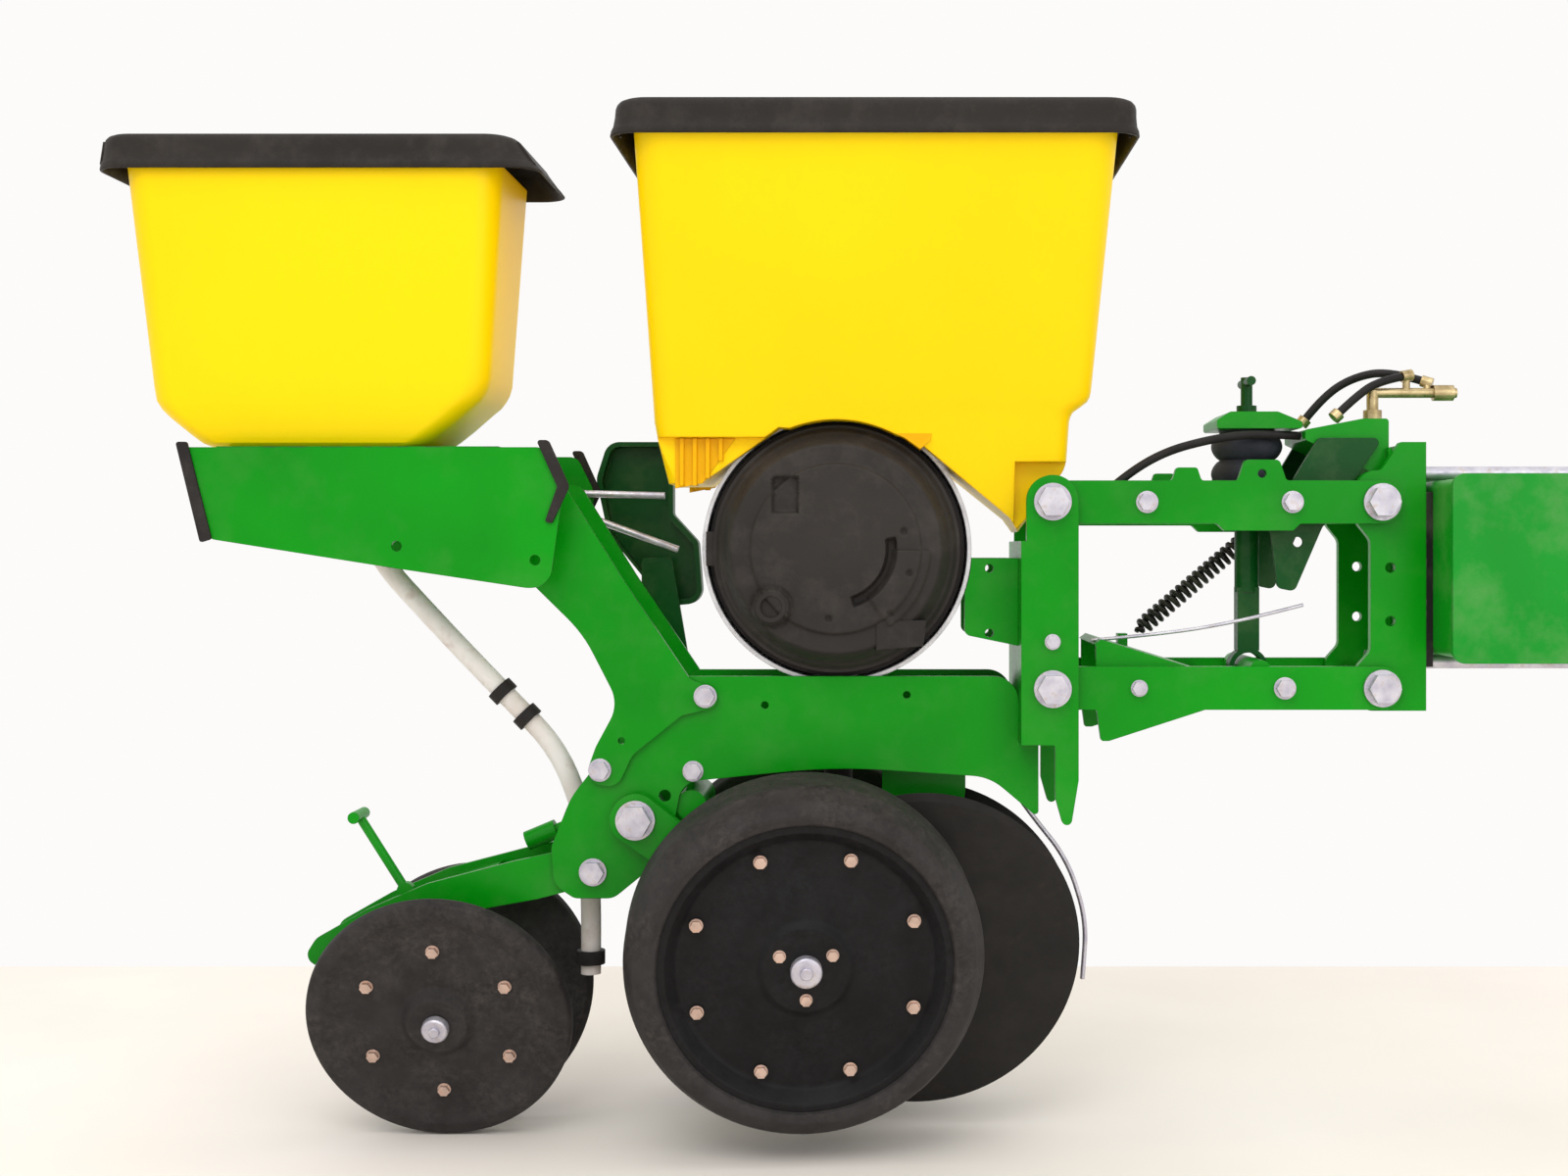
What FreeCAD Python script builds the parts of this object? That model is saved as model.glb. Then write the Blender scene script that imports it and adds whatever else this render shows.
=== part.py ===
import FreeCAD, Part
import math
import os
import re
import Sketcher
from FreeCAD import Placement, Rotation, Vector

# A row unit of a corn planter on a length of toolbar.  Millimetres.
# +X is forward (towards the tractor), +Y is left, +Z is up.
# The origin is the centre of the toolbar section.

doc = FreeCAD.newDocument("PlanterRowUnit")
sheet = doc.addObject("Spreadsheet::Sheet", "Sizes")

SIZES = [
    ("fit", 0.1, "radial clearance of a pin in its hole"),
    ("gap", 0.5, "clearance between pieces that pass each other"),
    # toolbar
    ("bar_side", 203.2, "toolbar, outside of the square tube"),
    ("bar_wall", 9.5, "toolbar wall"),
    ("bar_length", 340, "toolbar section length"),
    ("cap_side", 212, "toolbar end cap, side"),
    ("cap_thick", 6, "toolbar end cap, thickness"),
    ("pad_thick", 8, "mount pad behind the toolbar"),
    ("ubolt_dia", 16, "U-bolt rod"),
    ("bar_corner", 12, "Toolbar corner radius"),
    # head bracket and arms
    ("head_reach", 54.4, "mount face to the front pivots"),
    ("head_plate", 12, "head bracket side plate thickness"),
    ("head_half", 84, "head bracket half width"),
    ("pivot_up", 76, "front upper pivot above the toolbar centre"),
    ("pivot_drop", 215, "upper pivot to lower pivot"),
    ("arm_length", 381, "arm, pivot to pivot"),
    ("arm_bar", 10, "arm side bar thickness"),
    ("arm_deep", 50, "arm side bar height"),
    ("pin_dia", 20, "arm pivot bolt diameter"),
    ("cross_dia", 34, "arm cross tube diameter"),
    # mast and frame
    ("mast_plate", 10, "mast plate thickness"),
    ("mast_wide", 60, "mast plate width"),
    ("mast_top", 246, "mast top above the lower rear pivot"),
    ("mast_foot", 65, "mast bottom below the lower rear pivot"),
    ("frame_half", 66, "frame half width over the side plates"),
    ("frame_plate", 6, "frame side plate thickness"),
    ("frame_top", 12, "frame top edge above the lower rear pivot"),
    ("tray_half", 121, "hopper support half width"),
    ("tray_plate", 6, "hopper support plate thickness"),
    ("tray_top", 277, "hopper support top edge above the lower rear pivot"),
    # hoppers
    ("hopper_wall", 5, "hopper wall"),
    ("seed_top", 624, "seed hopper rim above the lower rear pivot"),
    ("seed_half_top", 205, "seed hopper half width at the rim"),
    ("seed_half_low", 64, "seed hopper half width at the bottom"),
    ("small_top", 606, "small hopper rim above the lower rear pivot"),
    ("small_half_top", 102, "small hopper half width at the rim"),
    ("small_half_low", 84, "small hopper half width at the bottom"),
    ("lid_wall", 4, "lid wall"),
    ("lid_skirt", 46, "lid depth"),
    # seed meter
    ("meter_back", 249, "meter centre behind the rear pivots"),
    ("meter_up", 161, "meter centre above the lower rear pivot"),
    ("meter_dia", 316, "meter housing diameter"),
    ("meter_wall", 5, "meter housing wall"),
    ("dome_dia", 288, "meter cover diameter"),
    ("dome_deep", 52, "meter cover depth"),
    ("port_dia", 24, "air port bore in the meter cover"),
    # gauge wheels
    ("gauge_dia", 406, "gauge wheel tyre diameter"),
    ("gauge_wide", 114, "gauge wheel tyre width"),
    ("rim_dia", 330, "gauge wheel rim diameter"),
    ("gauge_out", 138, "gauge wheel centre from the middle plane"),
    ("gauge_pin", 24, "gauge arm pivot diameter"),
    ("rim_bolts", 8, "bolts round a gauge wheel"),
    ("rim_circle", 262, "gauge wheel bolt circle diameter"),
    # opener discs
    ("disc_dia", 381, "opener disc diameter"),
    ("disc_thick", 3.5, "opener disc thickness"),
    ("disc_gap", 0.5, "half gap where the discs meet"),
    ("toe_angle", 4.7, "toe of discs and gauge wheels, degrees"),
    ("lean_angle", 8, "lean of discs and gauge wheels, degrees"),
    # closing wheels
    ("close_dia", 310, "closing wheel diameter"),
    ("close_wide", 26, "closing wheel tyre width"),
    ("close_out", 80, "closing wheel centre from the middle plane"),
    ("close_lean", 19, "closing wheel lean, degrees"),
    ("close_bolts", 6, "bolts round a closing wheel"),
    ("close_circle", 184, "closing wheel bolt circle diameter"),
    ("close_pin", 16, "closing frame pivot diameter"),
    ("axle_dia", 18, "wheel spindle diameter"),
    # air spring
    ("bellows_dia", 88, "bellows diameter"),
    ("hose_dia", 10, "air hose diameter"),
    ("drop_dia", 24, "drop tube diameter"),
]
for line, (alias, number, note) in enumerate(SIZES, start=1):
    sheet.set("A%d" % line, note)
    sheet.set("B%d" % line, str(number))
    sheet.setAlias("B%d" % line, alias)
doc.recompute()


class Named:
    """The sheet's values by name."""


s = Named()
for alias, number, note in SIZES:
    setattr(s, alias, float(sheet.get(alias)))

NODES = []


def expr(text):
    """The text with each sheet alias written as the sheet knows it."""
    names = {row[0] for row in SIZES}
    return re.sub(r"[a-z_]+", lambda m: "Sizes." + m.group(0) if m.group(0) in names else m.group(0), text)


def put(obj, prop, value):
    """Set a size as a number, or bind it to the sheet if it is given as text."""
    if isinstance(value, str):
        obj.setExpression(prop, expr(value))
    else:
        setattr(obj, prop, value)


def node(label, obj):
    """Give a finished sub-part its name."""
    obj.Label = label
    NODES.append(obj)
    return obj


def turn(axis, degrees):
    return Rotation(Vector(*axis), degrees)


def along(direction):
    """The rotation that lays +Z along a direction."""
    return Rotation(Vector(0, 0, 1), Vector(*direction))


# ---------------------------------------------------------------- primitives

def box(name, size, corner):
    obj = doc.addObject("Part::Box", name)
    put(obj, "Length", size[0])
    put(obj, "Width", size[1])
    put(obj, "Height", size[2])
    obj.Placement.Base = Vector(*corner)
    return obj


def span(name, low, high):
    """A box from one corner to the opposite one."""
    return box(name, [b - a for a, b in zip(low, high)], low)


def rod(name, diameter, start, end):
    """A round bar between two points."""
    start, end = Vector(*start), Vector(*end)
    obj = doc.addObject("Part::Cylinder", name)
    if isinstance(diameter, str):
        put(obj, "Radius", "(" + diameter + ") / 2")
    else:
        obj.Radius = diameter / 2
    obj.Height = (end - start).Length
    obj.Placement = Placement(start, Rotation(Vector(0, 0, 1), end - start))
    return obj


def hexagon(name, flats, height, base, direction):
    """A hexagon prism: a bolt head or a nut."""
    obj = doc.addObject("Part::Prism", name)
    obj.Polygon = 6
    obj.Circumradius = flats / math.sqrt(3)
    obj.Height = height
    obj.Placement = Placement(Vector(*base), along(direction))
    return obj


def joined(name, parts):
    obj = doc.addObject("Part::MultiFuse", name)
    obj.Shapes = parts
    obj.Refine = True
    return obj


def trimmed(name, base, tools):
    obj = doc.addObject("Part::Cut", name)
    obj.Base = base
    obj.Tool = tools[0] if len(tools) == 1 else joined(name + "_tools", tools)
    return obj


def shared(name, first, second):
    obj = doc.addObject("Part::Common", name)
    obj.Base = first
    obj.Tool = second
    return obj


def set_of(name, parts):
    """Separate solids kept in one group."""
    obj = doc.addObject("Part::Compound", name)
    obj.Links = parts
    return obj


def mirrored(name, source):
    """The same piece on the other side of the middle plane."""
    obj = doc.addObject("Part::Mirroring", name)
    obj.Source = source
    obj.Base = Vector(0, 0, 0)
    obj.Normal = Vector(0, 1, 0)
    return obj


# ------------------------------------------------------------ sketched bodies

def outline_edges(points):
    """Lines and tangent arcs through the corners; a third number is a corner's radius."""
    corners = []
    count = len(points)
    for i, point in enumerate(points):
        here = Vector(point[0], point[1], 0)
        radius = point[2] if len(point) > 2 else 0
        if radius == 0:
            corners.append((here, None, here))
            continue
        before = (Vector(*points[i - 1][:2], 0) - here).normalize()
        after = (Vector(*points[(i + 1) % count][:2], 0) - here).normalize()
        half = before.getAngle(after) / 2
        reach = radius / math.tan(half)
        middle = (before + after).normalize()
        top = here + middle * (radius / math.sin(half) - radius)
        corners.append((here + before * reach, top, here + after * reach))
    edges = []
    for i, (start, top, end) in enumerate(corners):
        if top is not None:
            edges.append(Part.Arc(start, top, end))
        following = corners[(i + 1) % count][0]
        if (following - end).Length > 1e-4:
            edges.append(Part.LineSegment(end, following))
    return edges


def origin_plane(body, role):
    return [f for f in body.Origin.OriginFeatures if f.Role == role][0]


def sketch_on(body, name, role, offset=0):
    sketch = body.newObject("Sketcher::SketchObject", name)
    sketch.AttachmentSupport = [(origin_plane(body, role), "")]
    sketch.MapMode = "FlatFace"
    sketch.AttachmentOffset = Placement(Vector(0, 0, offset), Rotation())
    return sketch


def add_circle(sketch, x, y, diameter):
    """A circle whose diameter is a sheet size or a number."""
    number = diameter if not isinstance(diameter, str) else 10
    index = sketch.addGeometry(Part.Circle(Vector(x, y, 0), Vector(0, 0, 1), number / 2))
    sketch.addConstraint(Sketcher.Constraint("DistanceX", -1, 1, index, 3, x))
    sketch.addConstraint(Sketcher.Constraint("DistanceY", -1, 1, index, 3, y))
    rule = sketch.addConstraint(Sketcher.Constraint("Diameter", index, number))
    if isinstance(diameter, str):
        sketch.setExpression("Constraints[%d]" % rule, expr(diameter))


def plate(name, points, low_y, thick, holes=()):
    """A flat plate on the XZ plane from low_y upwards; thick is a size or a sheet text."""
    body = doc.addObject("PartDesign::Body", name)
    flat = sketch_on(body, name + "_sketch", "XZ_Plane", -low_y)
    flat.addGeometry(outline_edges(points), False)
    for x, z, diameter in holes:
        add_circle(flat, x, z, diameter)
    pad = body.newObject("PartDesign::Pad", name + "_pad")
    pad.Profile = flat
    pad.Reversed = True
    put(pad, "Length", thick)
    return body


def cross_plate(name, points, low_x, thick):
    """A plate on the YZ plane from low_x upwards."""
    body = doc.addObject("PartDesign::Body", name)
    flat = sketch_on(body, name + "_sketch", "YZ_Plane", low_x)
    flat.addGeometry(outline_edges(points), False)
    pad = body.newObject("PartDesign::Pad", name + "_pad")
    pad.Profile = flat
    put(pad, "Length", thick)
    return body


def turned(name, points, place):
    """A piece turned about its own Y axis from an outline of (radius, y), then placed."""
    body = doc.addObject("PartDesign::Body", name)
    flat = sketch_on(body, name + "_sketch", "XY_Plane")
    flat.addGeometry(outline_edges(points), False)
    spin = body.newObject("PartDesign::Revolution", name + "_turn")
    spin.Profile = flat
    spin.ReferenceAxis = (flat, ["V_Axis"])
    spin.Angle = 360
    body.Placement = place
    return body


sweeps = []


def pipe(name, points, diameter, bore=None, bend=None):
    """A round tube along straight runs joined by tangent arcs; bend limits their radius."""
    route = [Vector(*p) for p in points]
    edges = []
    radii = []
    start = route[0]
    for before, here, after in zip(route, route[1:], route[2:]):
        back = (before - here)
        ahead = (after - here)
        half = back.getAngle(ahead) / 2
        reach = 0.45 * min(back.Length, ahead.Length)
        if bend is not None:
            reach = min(reach, bend / math.tan(half))
        back.normalize()
        ahead.normalize()
        middle = (back + ahead).normalize()
        radius = reach * math.tan(half)
        radii.append(round(radius, 1))
        top = here + middle * (radius / math.sin(half) - radius)
        edges.append(Part.LineSegment(start, here + back * reach).toShape())
        edges.append(Part.Arc(here + back * reach, top, here + ahead * reach).toShape())
        start = here + ahead * reach
    edges.append(Part.LineSegment(start, route[-1]).toShape())
    path = doc.addObject("Part::Feature", name + "_path")
    path.Shape = Part.Wire(edges)
    print(name, "length", round(path.Shape.Length, 1), "bend radii", radii)
    rings = []
    for ring_name, size in (("outer", diameter), ("inner", bore)):
        if size is None:
            continue
        ring = doc.addObject("Part::Circle", name + "_" + ring_name)
        if isinstance(size, str):
            put(ring, "Radius", "(" + size + ") / 2")
        else:
            ring.Radius = size / 2
        ring.Placement = Placement(route[0], Rotation(Vector(0, 0, 1), route[1] - route[0]))
        sweep = doc.addObject("Part::Sweep", name + "_" + ring_name + "_sweep")
        sweep.Sections = [ring]
        sweep.Spine = (path, ["Edge%d" % (i + 1) for i in range(len(edges))])
        sweep.Solid = True
        sweeps.append((sweep, path, ring))
        rings.append(sweep)
    if len(rings) == 1:
        return rings[0]
    return trimmed(name + "_bored", rings[0], [rings[1]])


# ------------------------------------------------------------------ fasteners

def bolt(name, place, grip, shank, head=None, proud=10, washer=3):
    """A bolt along its own +Z: head and washer below 0, shank through the grip, nut above.

    place puts the underside of the washer at the face that the bolt bears on.
    """
    head = head or shank * 1.6
    parts = [
        rod(name + "_shank", shank, (0, 0, -washer), (0, 0, grip + washer + proud)),
        rod(name + "_washer", head * 1.35, (0, 0, -washer), (0, 0, 0)),
        hexagon(name + "_head", head, head * 0.42, (0, 0, -washer - head * 0.42), (0, 0, 1)),
        hexagon(name + "_nut", head, head * 0.5, (0, 0, grip), (0, 0, 1)),
    ]
    obj = joined(name, parts)
    obj.Placement = place
    return obj


def screw(name, place, shank, length, head=None, washer=2):
    """A headed screw along its own +Z with no nut."""
    head = head or shank * 1.7
    parts = [
        rod(name + "_shank", shank, (0, 0, -washer), (0, 0, length)),
        rod(name + "_washer", head * 1.3, (0, 0, -washer), (0, 0, 0)),
        hexagon(name + "_head", head, head * 0.42, (0, 0, -washer - head * 0.42), (0, 0, 1)),
    ]
    obj = joined(name, parts)
    obj.Placement = place
    return obj


def inward(x, y, z):
    """A place on the right-hand (-Y) side, looking in towards +Y."""
    return Placement(Vector(x, y, z), along((0, 1, 0)))


def both_sides(name, make, places):
    """One fastener at each place and its mirror image."""
    parts = []
    for i, place in enumerate(places):
        near = make("%s_%d" % (name, i), place)
        parts += [near, mirrored("%s_%d_left" % (name, i), near)]
    return parts


# ------------------------------------------------------- the main lines of it

BAR = s.bar_side / 2
MOUNT_X = -BAR - s.pad_thick
FRONT_X = MOUNT_X - s.head_reach
UP_Z = s.pivot_up
LOW_Z = s.pivot_up - s.pivot_drop
REAR_X = FRONT_X - s.arm_length
ARM_IN = s.head_half + 1
ARM_OUT = ARM_IN + s.arm_bar
MAST_IN = ARM_OUT + 1
MAST_OUT = MAST_IN + s.mast_plate
MAST_BACK = s.mast_wide / 2
HOLE = s.pin_dia + 2 * s.fit


def row(back, up, radius=None):
    """A point of the row unit, from its lower rear arm pivot (back is negative)."""
    place = (REAR_X + back, LOW_Z + up)
    return place if radius is None else place + (radius,)


METER_X, METER_Z = row(-s.meter_back, s.meter_up)
GAUGE_PIVOT = row(-482, -154)
GAUGE_CENTRE = row(-284, -299)
DISC_CENTRE = row(-150, -314)
CLOSE_PIVOT = row(-534, -217)
CLOSE_CENTRE = row(-710, -384)


# -------------------------------------------------------------------- toolbar

def toolbar():
    half = s.bar_length / 2
    outer = box("bar_outer", ("bar_side", "bar_length", "bar_side"), (-BAR, -half, -BAR))
    inner = box("bar_inner", ("bar_side - 2 * bar_wall", "bar_length + 2", "bar_side - 2 * bar_wall"),
                (-BAR + s.bar_wall, -half - 1, -BAR + s.bar_wall))
    soft = doc.addObject("Part::Fillet", "bar_rounded")
    soft.Base = outer
    doc.recompute()
    long_edges = []
    for i, edge in enumerate(outer.Shape.Edges, start=1):
        if abs(edge.BoundBox.YLength - s.bar_length) < 0.01:
            long_edges.append((i, s.bar_corner, s.bar_corner))
    soft.Edges = long_edges
    node("toolbar_tube", trimmed("bar_hollow", soft, [inner]))
    side = s.cap_side / 2
    corners = [(-side, -side, 14), (side, -side, 14), (side, side, 14), (-side, side, 14)]
    cap = plate("bar_cap", corners, -half - s.cap_thick, "cap_thick")
    node("toolbar_end_caps", set_of("bar_caps", [cap, mirrored("bar_cap_left", cap)]))


def mount_pad():
    holes = [(MOUNT_X, y, z) for y in (-55, 55) for z in UBOLT_ROWS]
    pad = span("pad_plain", (MOUNT_X, -s.head_half, -115), (-BAR, s.head_half, 88))
    cuts = []
    for i, (x, y, z) in enumerate(holes):
        cuts.append(rod("pad_hole_%d" % i, s.ubolt_dia + 1, (x - 1, y, z), (x + s.pad_thick + 1, y, z)))
    node("mount_pad", trimmed("pad_drilled", pad, cuts))


UBOLT_ROWS = (-BAR - s.ubolt_dia / 2 - 1, BAR + s.ubolt_dia / 2 + 1)
HEAD_BACK = 12


def u_bolts():
    """Two square U-bolts round the toolbar, nuts behind the head bracket."""
    parts = []
    reach = s.ubolt_dia / 2
    for side in (-55, 55):
        low, high = UBOLT_ROWS
        front = BAR + reach + 1
        back = MOUNT_X - HEAD_BACK - 24
        name = "ubolt_%d" % (side + 100)
        route = [(back, side, low), (front, side, low), (front, side, high), (back, side, high)]
        legs = [pipe(name, route, "ubolt_dia", bend=s.bar_corner + reach + 1)]
        for z in UBOLT_ROWS:
            legs.append(hexagon(name + "_nut", 26, 13, (MOUNT_X - HEAD_BACK, side, z), (-1, 0, 0)))
        parts.append(joined(name, legs))
    node("u_bolts", set_of("ubolt_pair", parts))


def head_bracket():
    """Two side plates on a back plate; the arms turn outside the side plates."""
    outline = [
        (MOUNT_X, UP_Z + 70), (MOUNT_X - 30, UP_Z + 70, 4), (MOUNT_X - 52, UP_Z + 37, 8),
        (FRONT_X - 26, UP_Z + 37, 22), (FRONT_X - 26, UP_Z - 24, 14), (FRONT_X - 10, UP_Z - 44, 14),
        (FRONT_X - 10, LOW_Z + 42, 14), (FRONT_X - 26, LOW_Z + 24, 14), (FRONT_X - 26, LOW_Z - 27, 18),
        (MOUNT_X, LOW_Z - 27),
    ]
    holes = [(FRONT_X, UP_Z, s.pin_dia), (FRONT_X, LOW_Z, s.pin_dia),
             (FRONT_X + 13, 0, 12), (FRONT_X + 13, -62, 12)]
    near = plate("head_side", outline, -s.head_half, "head_plate", holes)
    back = span("head_back", (MOUNT_X - HEAD_BACK, -s.head_half, LOW_Z - 27),
                (MOUNT_X, s.head_half, UP_Z + 70))
    cuts = []
    for i, side in enumerate((-55, 55)):
        for z in UBOLT_ROWS:
            cuts.append(rod("head_hole_%d" % i, s.ubolt_dia + 1, (MOUNT_X - 20, side, z), (MOUNT_X + 1, side, z)))
    cuts.append(span("head_window", (MOUNT_X - 20, -30, -70), (MOUNT_X + 1, 30, 50)))
    whole = joined("head_whole", [near, mirrored("head_side_left", near), back])
    node("head_bracket", trimmed("head_drilled", whole, cuts))
    grip = ARM_OUT - s.head_half + s.head_plate + 1
    places = [inward(FRONT_X, -ARM_OUT - 0.5, z) for z in (UP_Z, LOW_Z)]
    bolts = both_sides("front_bolt", lambda n, p: bolt(n, p, grip - 0.5, s.pin_dia, 32, 6, 5), places)
    node("front_pivot_bolts", set_of("front_bolts", bolts))


# ----------------------------------------------------------------------- arms

def bar_ends(z):
    """The four rounded corners of an arm side bar, front and rear."""
    half = s.arm_deep / 2
    end = half - 0.1
    rear = [(REAR_X - half, z - half, end), (REAR_X - half, z + half, end)]
    front = [(FRONT_X + half, z + half, end), (FRONT_X + half, z - half, end)]
    return rear, front


def upper_arm():
    rear, front = bar_ends(UP_Z)
    top = UP_Z + s.arm_deep / 2
    low = UP_Z - s.arm_deep / 2
    lug, ear, belly = REAR_X + 156, REAR_X + 243, REAR_X + 239
    lugs = [(lug - 17, top, 4), (lug - 12, top + 15, 4), (lug + 12, top + 15, 4), (lug + 17, top, 4),
            (ear - 28, top, 4), (ear - 20, top + 24, 6), (ear + 20, top + 24, 6), (ear + 28, top, 4)]
    bulge = [(belly + 48, low, 5), (belly + 40, low - 8, 5), (belly - 40, low - 8, 5), (belly - 48, low, 5)]
    holes = [(REAR_X, UP_Z, HOLE), (FRONT_X, UP_Z, HOLE), (ear, top + 8, 10)]
    holes += [(x, UP_Z, 12) for x in UPPER_BOLTS]
    bar = plate("upper_bar", rear + lugs + front + bulge, -ARM_OUT, "arm_bar", holes)
    tube = rod("upper_tube", "cross_dia", (UPPER_BOLTS[0], -ARM_IN, UP_Z), (UPPER_BOLTS[0], ARM_IN, UP_Z))
    bore = rod("upper_bore", 13, (UPPER_BOLTS[0], -ARM_OUT - 1, UP_Z), (UPPER_BOLTS[0], ARM_OUT + 1, UP_Z))
    whole = joined("upper_whole", [bar, mirrored("upper_bar_left", bar), tube])
    node("upper_arm", trimmed("upper_bored", whole, [bore]))
    places = [inward(x, -ARM_OUT, UP_Z) for x in UPPER_BOLTS]
    long_bolt = bolt("upper_long", places[0], 2 * ARM_OUT, 12, 19, 4, 2)
    short = both_sides("upper_short", lambda n, p: bolt(n, p, s.arm_bar, 12, 19, 4, 2), places[1:])
    node("upper_arm_bolts", set_of("upper_bolts", [long_bolt] + short))


UPPER_BOLTS = (REAR_X + 110, REAR_X + 278)
LOWER_BOLTS = (REAR_X + 101, REAR_X + 269)
POST_X = REAR_X + 243
POST_Z = LOW_Z + 19


def lower_arm():
    rear, front = bar_ends(LOW_Z)
    low = LOW_Z - s.arm_deep / 2
    gusset = [(REAR_X + 177, low, 6), (REAR_X + 66, low - 36, 6), (REAR_X + 57, low - 36, 3),
              (REAR_X + 52, low, 3)]
    holes = [(REAR_X, LOW_Z, HOLE), (FRONT_X, LOW_Z, HOLE)] + [(x, LOW_Z, 12) for x in LOWER_BOLTS]
    bar = plate("lower_bar", rear + front + gusset, -ARM_OUT, "arm_bar", holes)
    tube = rod("lower_tube", 26, (POST_X, -ARM_IN, POST_Z), (POST_X, ARM_IN, POST_Z))
    shelf = plate("lower_shelf", [(REAR_X + 50, LOW_Z + 50), (REAR_X + 58, LOW_Z + 56), (REAR_X + 196, LOW_Z + 13),
                                  (REAR_X + 196, LOW_Z + 2), (REAR_X + 58, LOW_Z + 46)],
                  -ARM_IN, 2 * ARM_IN)
    wing = plate("lower_wing", [(REAR_X + 52, LOW_Z + 10), (REAR_X + 52, LOW_Z + 52), (REAR_X + 190, LOW_Z + 12)],
                 -ARM_IN, 6)
    lug = span("spring_lug_low", (REAR_X + 96, ARM_IN - 20, LOW_Z + 30), (REAR_X + 108, ARM_IN, LOW_Z + 56))
    parts = [bar, mirrored("lower_bar_left", bar), tube, shelf, wing, mirrored("lower_wing_left", wing), lug]
    node("lower_arm", joined("lower_whole", parts))
    places = [inward(x, -ARM_OUT, LOW_Z) for x in LOWER_BOLTS]
    bolts = both_sides("lower_bolt", lambda n, p: bolt(n, p, s.arm_bar, 12, 19, 4, 2), places[1:])
    shorts = both_sides("lower_screw", lambda n, p: screw(n, p, 12, s.arm_bar, 15), places[:1])
    node("lower_arm_bolts", set_of("lower_bolts", bolts + shorts))


# ----------------------------------------------------------- air down-force

CAP_Z = UP_Z + 88
PISTON_Z = UP_Z - 16


def air_spring():
    """A bellows under a cap on the head bracket presses a strut on the lower arm."""
    front = MOUNT_X - HEAD_BACK - 24.5
    housing = plate("housing_side", [(front, CAP_Z - 62, 6), (front, CAP_Z + 11, 4), (front - 30, CAP_Z + 11, 10),
                                     (POST_X + 58, CAP_Z - 2, 3), (POST_X + 58, CAP_Z - 14, 3)], -58, 116)
    tie = span("housing_tie", (front - 4, -s.head_half + s.head_plate, CAP_Z - 58),
               (front, s.head_half - s.head_plate, CAP_Z - 24))
    node("downforce_housing", joined("housing_whole", [housing, tie]))
    cap = plate("cap_flat", [(POST_X - 44, CAP_Z, 3), (POST_X - 44, CAP_Z + 10, 3), (POST_X - 28, CAP_Z + 20, 6),
                             (POST_X + 28, CAP_Z + 20, 6), (POST_X + 57, CAP_Z + 8, 3), (POST_X + 57, CAP_Z, 3)],
                -48, 96)
    bore = rod("cap_bore", 14.2, (POST_X, 0, CAP_Z - 1), (POST_X, 0, CAP_Z + 30))
    node("air_spring_cap", trimmed("cap_drilled", cap, [bore]))
    stem = rod("stem", 14, (POST_X, 0, CAP_Z + 4), (POST_X, 0, CAP_Z + 64))
    collar = rod("stem_collar", 24, (POST_X, 0, CAP_Z + 20.3), (POST_X, 0, CAP_Z + 30))
    grip = rod("stem_grip", 11, (POST_X, -30, CAP_Z + 58), (POST_X, 30, CAP_Z + 58))
    node("cap_t_handle", joined("t_handle", [stem, collar, grip]))
    half = s.bellows_dia / 2
    tall = CAP_Z - PISTON_Z
    rings = []
    folds = 3
    for i in range(folds):
        z0 = i * tall / folds
        z1 = (i + 1) * tall / folds
        rings += [(half - 12, z0, 0), (half, z0 + tall / folds / 2, 8), (half - 12, z1, 0)]
    corners = [(0, 0)] + [rings[0][:2]]
    for i in range(folds):
        corners += [rings[3 * i + 1], rings[3 * i + 2][:2]]
    corners.append((0, tall))
    lift = Placement(Vector(POST_X, 0, PISTON_Z), turn((1, 0, 0), 90))
    node("bellows", turned("bellows_body", corners, lift))
    eye = rod("post_eye", 46, (POST_X, -12, POST_Z), (POST_X, 12, POST_Z))
    slot = rod("post_slot", 35, (POST_X, -13, POST_Z), (POST_X, 13, POST_Z))
    post = span("post_square", (POST_X - 13, -12, POST_Z + 20), (POST_X + 13, 12, POST_Z + 96))
    strut = rod("strut_round", 29, (POST_X, 0, POST_Z + 90), (POST_X, 0, PISTON_Z - 8))
    foot = rod("strut_foot", 70, (POST_X, 0, PISTON_Z - 8), (POST_X, 0, PISTON_Z))
    node("air_strut", trimmed("strut_whole", joined("strut_parts", [eye, post, strut, foot]), [slot]))
    ear = plate("ear_plate", [(front - 8, CAP_Z - 12, 6), (front - 84, CAP_Z - 12, 6), (POST_X + 14, UP_Z - 20, 10),
                              (POST_X + 24, UP_Z - 100, 8), (POST_X + 44, UP_Z - 104, 8),
                              (POST_X + 76, UP_Z - 30, 20)], -64, 6,
                [(POST_X + 48, UP_Z - 46, 12)])
    far = mirrored("ear_plate_left", ear)
    peg = rod("spring_peg", 10, (POST_X + 22, 60, UP_Z - 34), (POST_X + 22, 83, UP_Z - 34))
    bridge = rod("ear_bridge", 14, (POST_X + 72, -60, UP_Z + 6), (POST_X + 72, 60, UP_Z + 6))
    node("strut_bracket", joined("ear_whole", [ear, far, bridge, peg]))
    spring_y = ARM_IN - 10.5
    top = (POST_X + 16, spring_y, UP_Z - 39)
    low = (REAR_X + 120, spring_y, LOW_Z + 58)
    node("diagonal_spring", rod("diagonal_coil", 20, top, low))


HOUSING_TOP = CAP_Z + 11.2
TEE_X = MOUNT_X - HEAD_BACK - 34
TEE_Z = CAP_Z + 44


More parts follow.
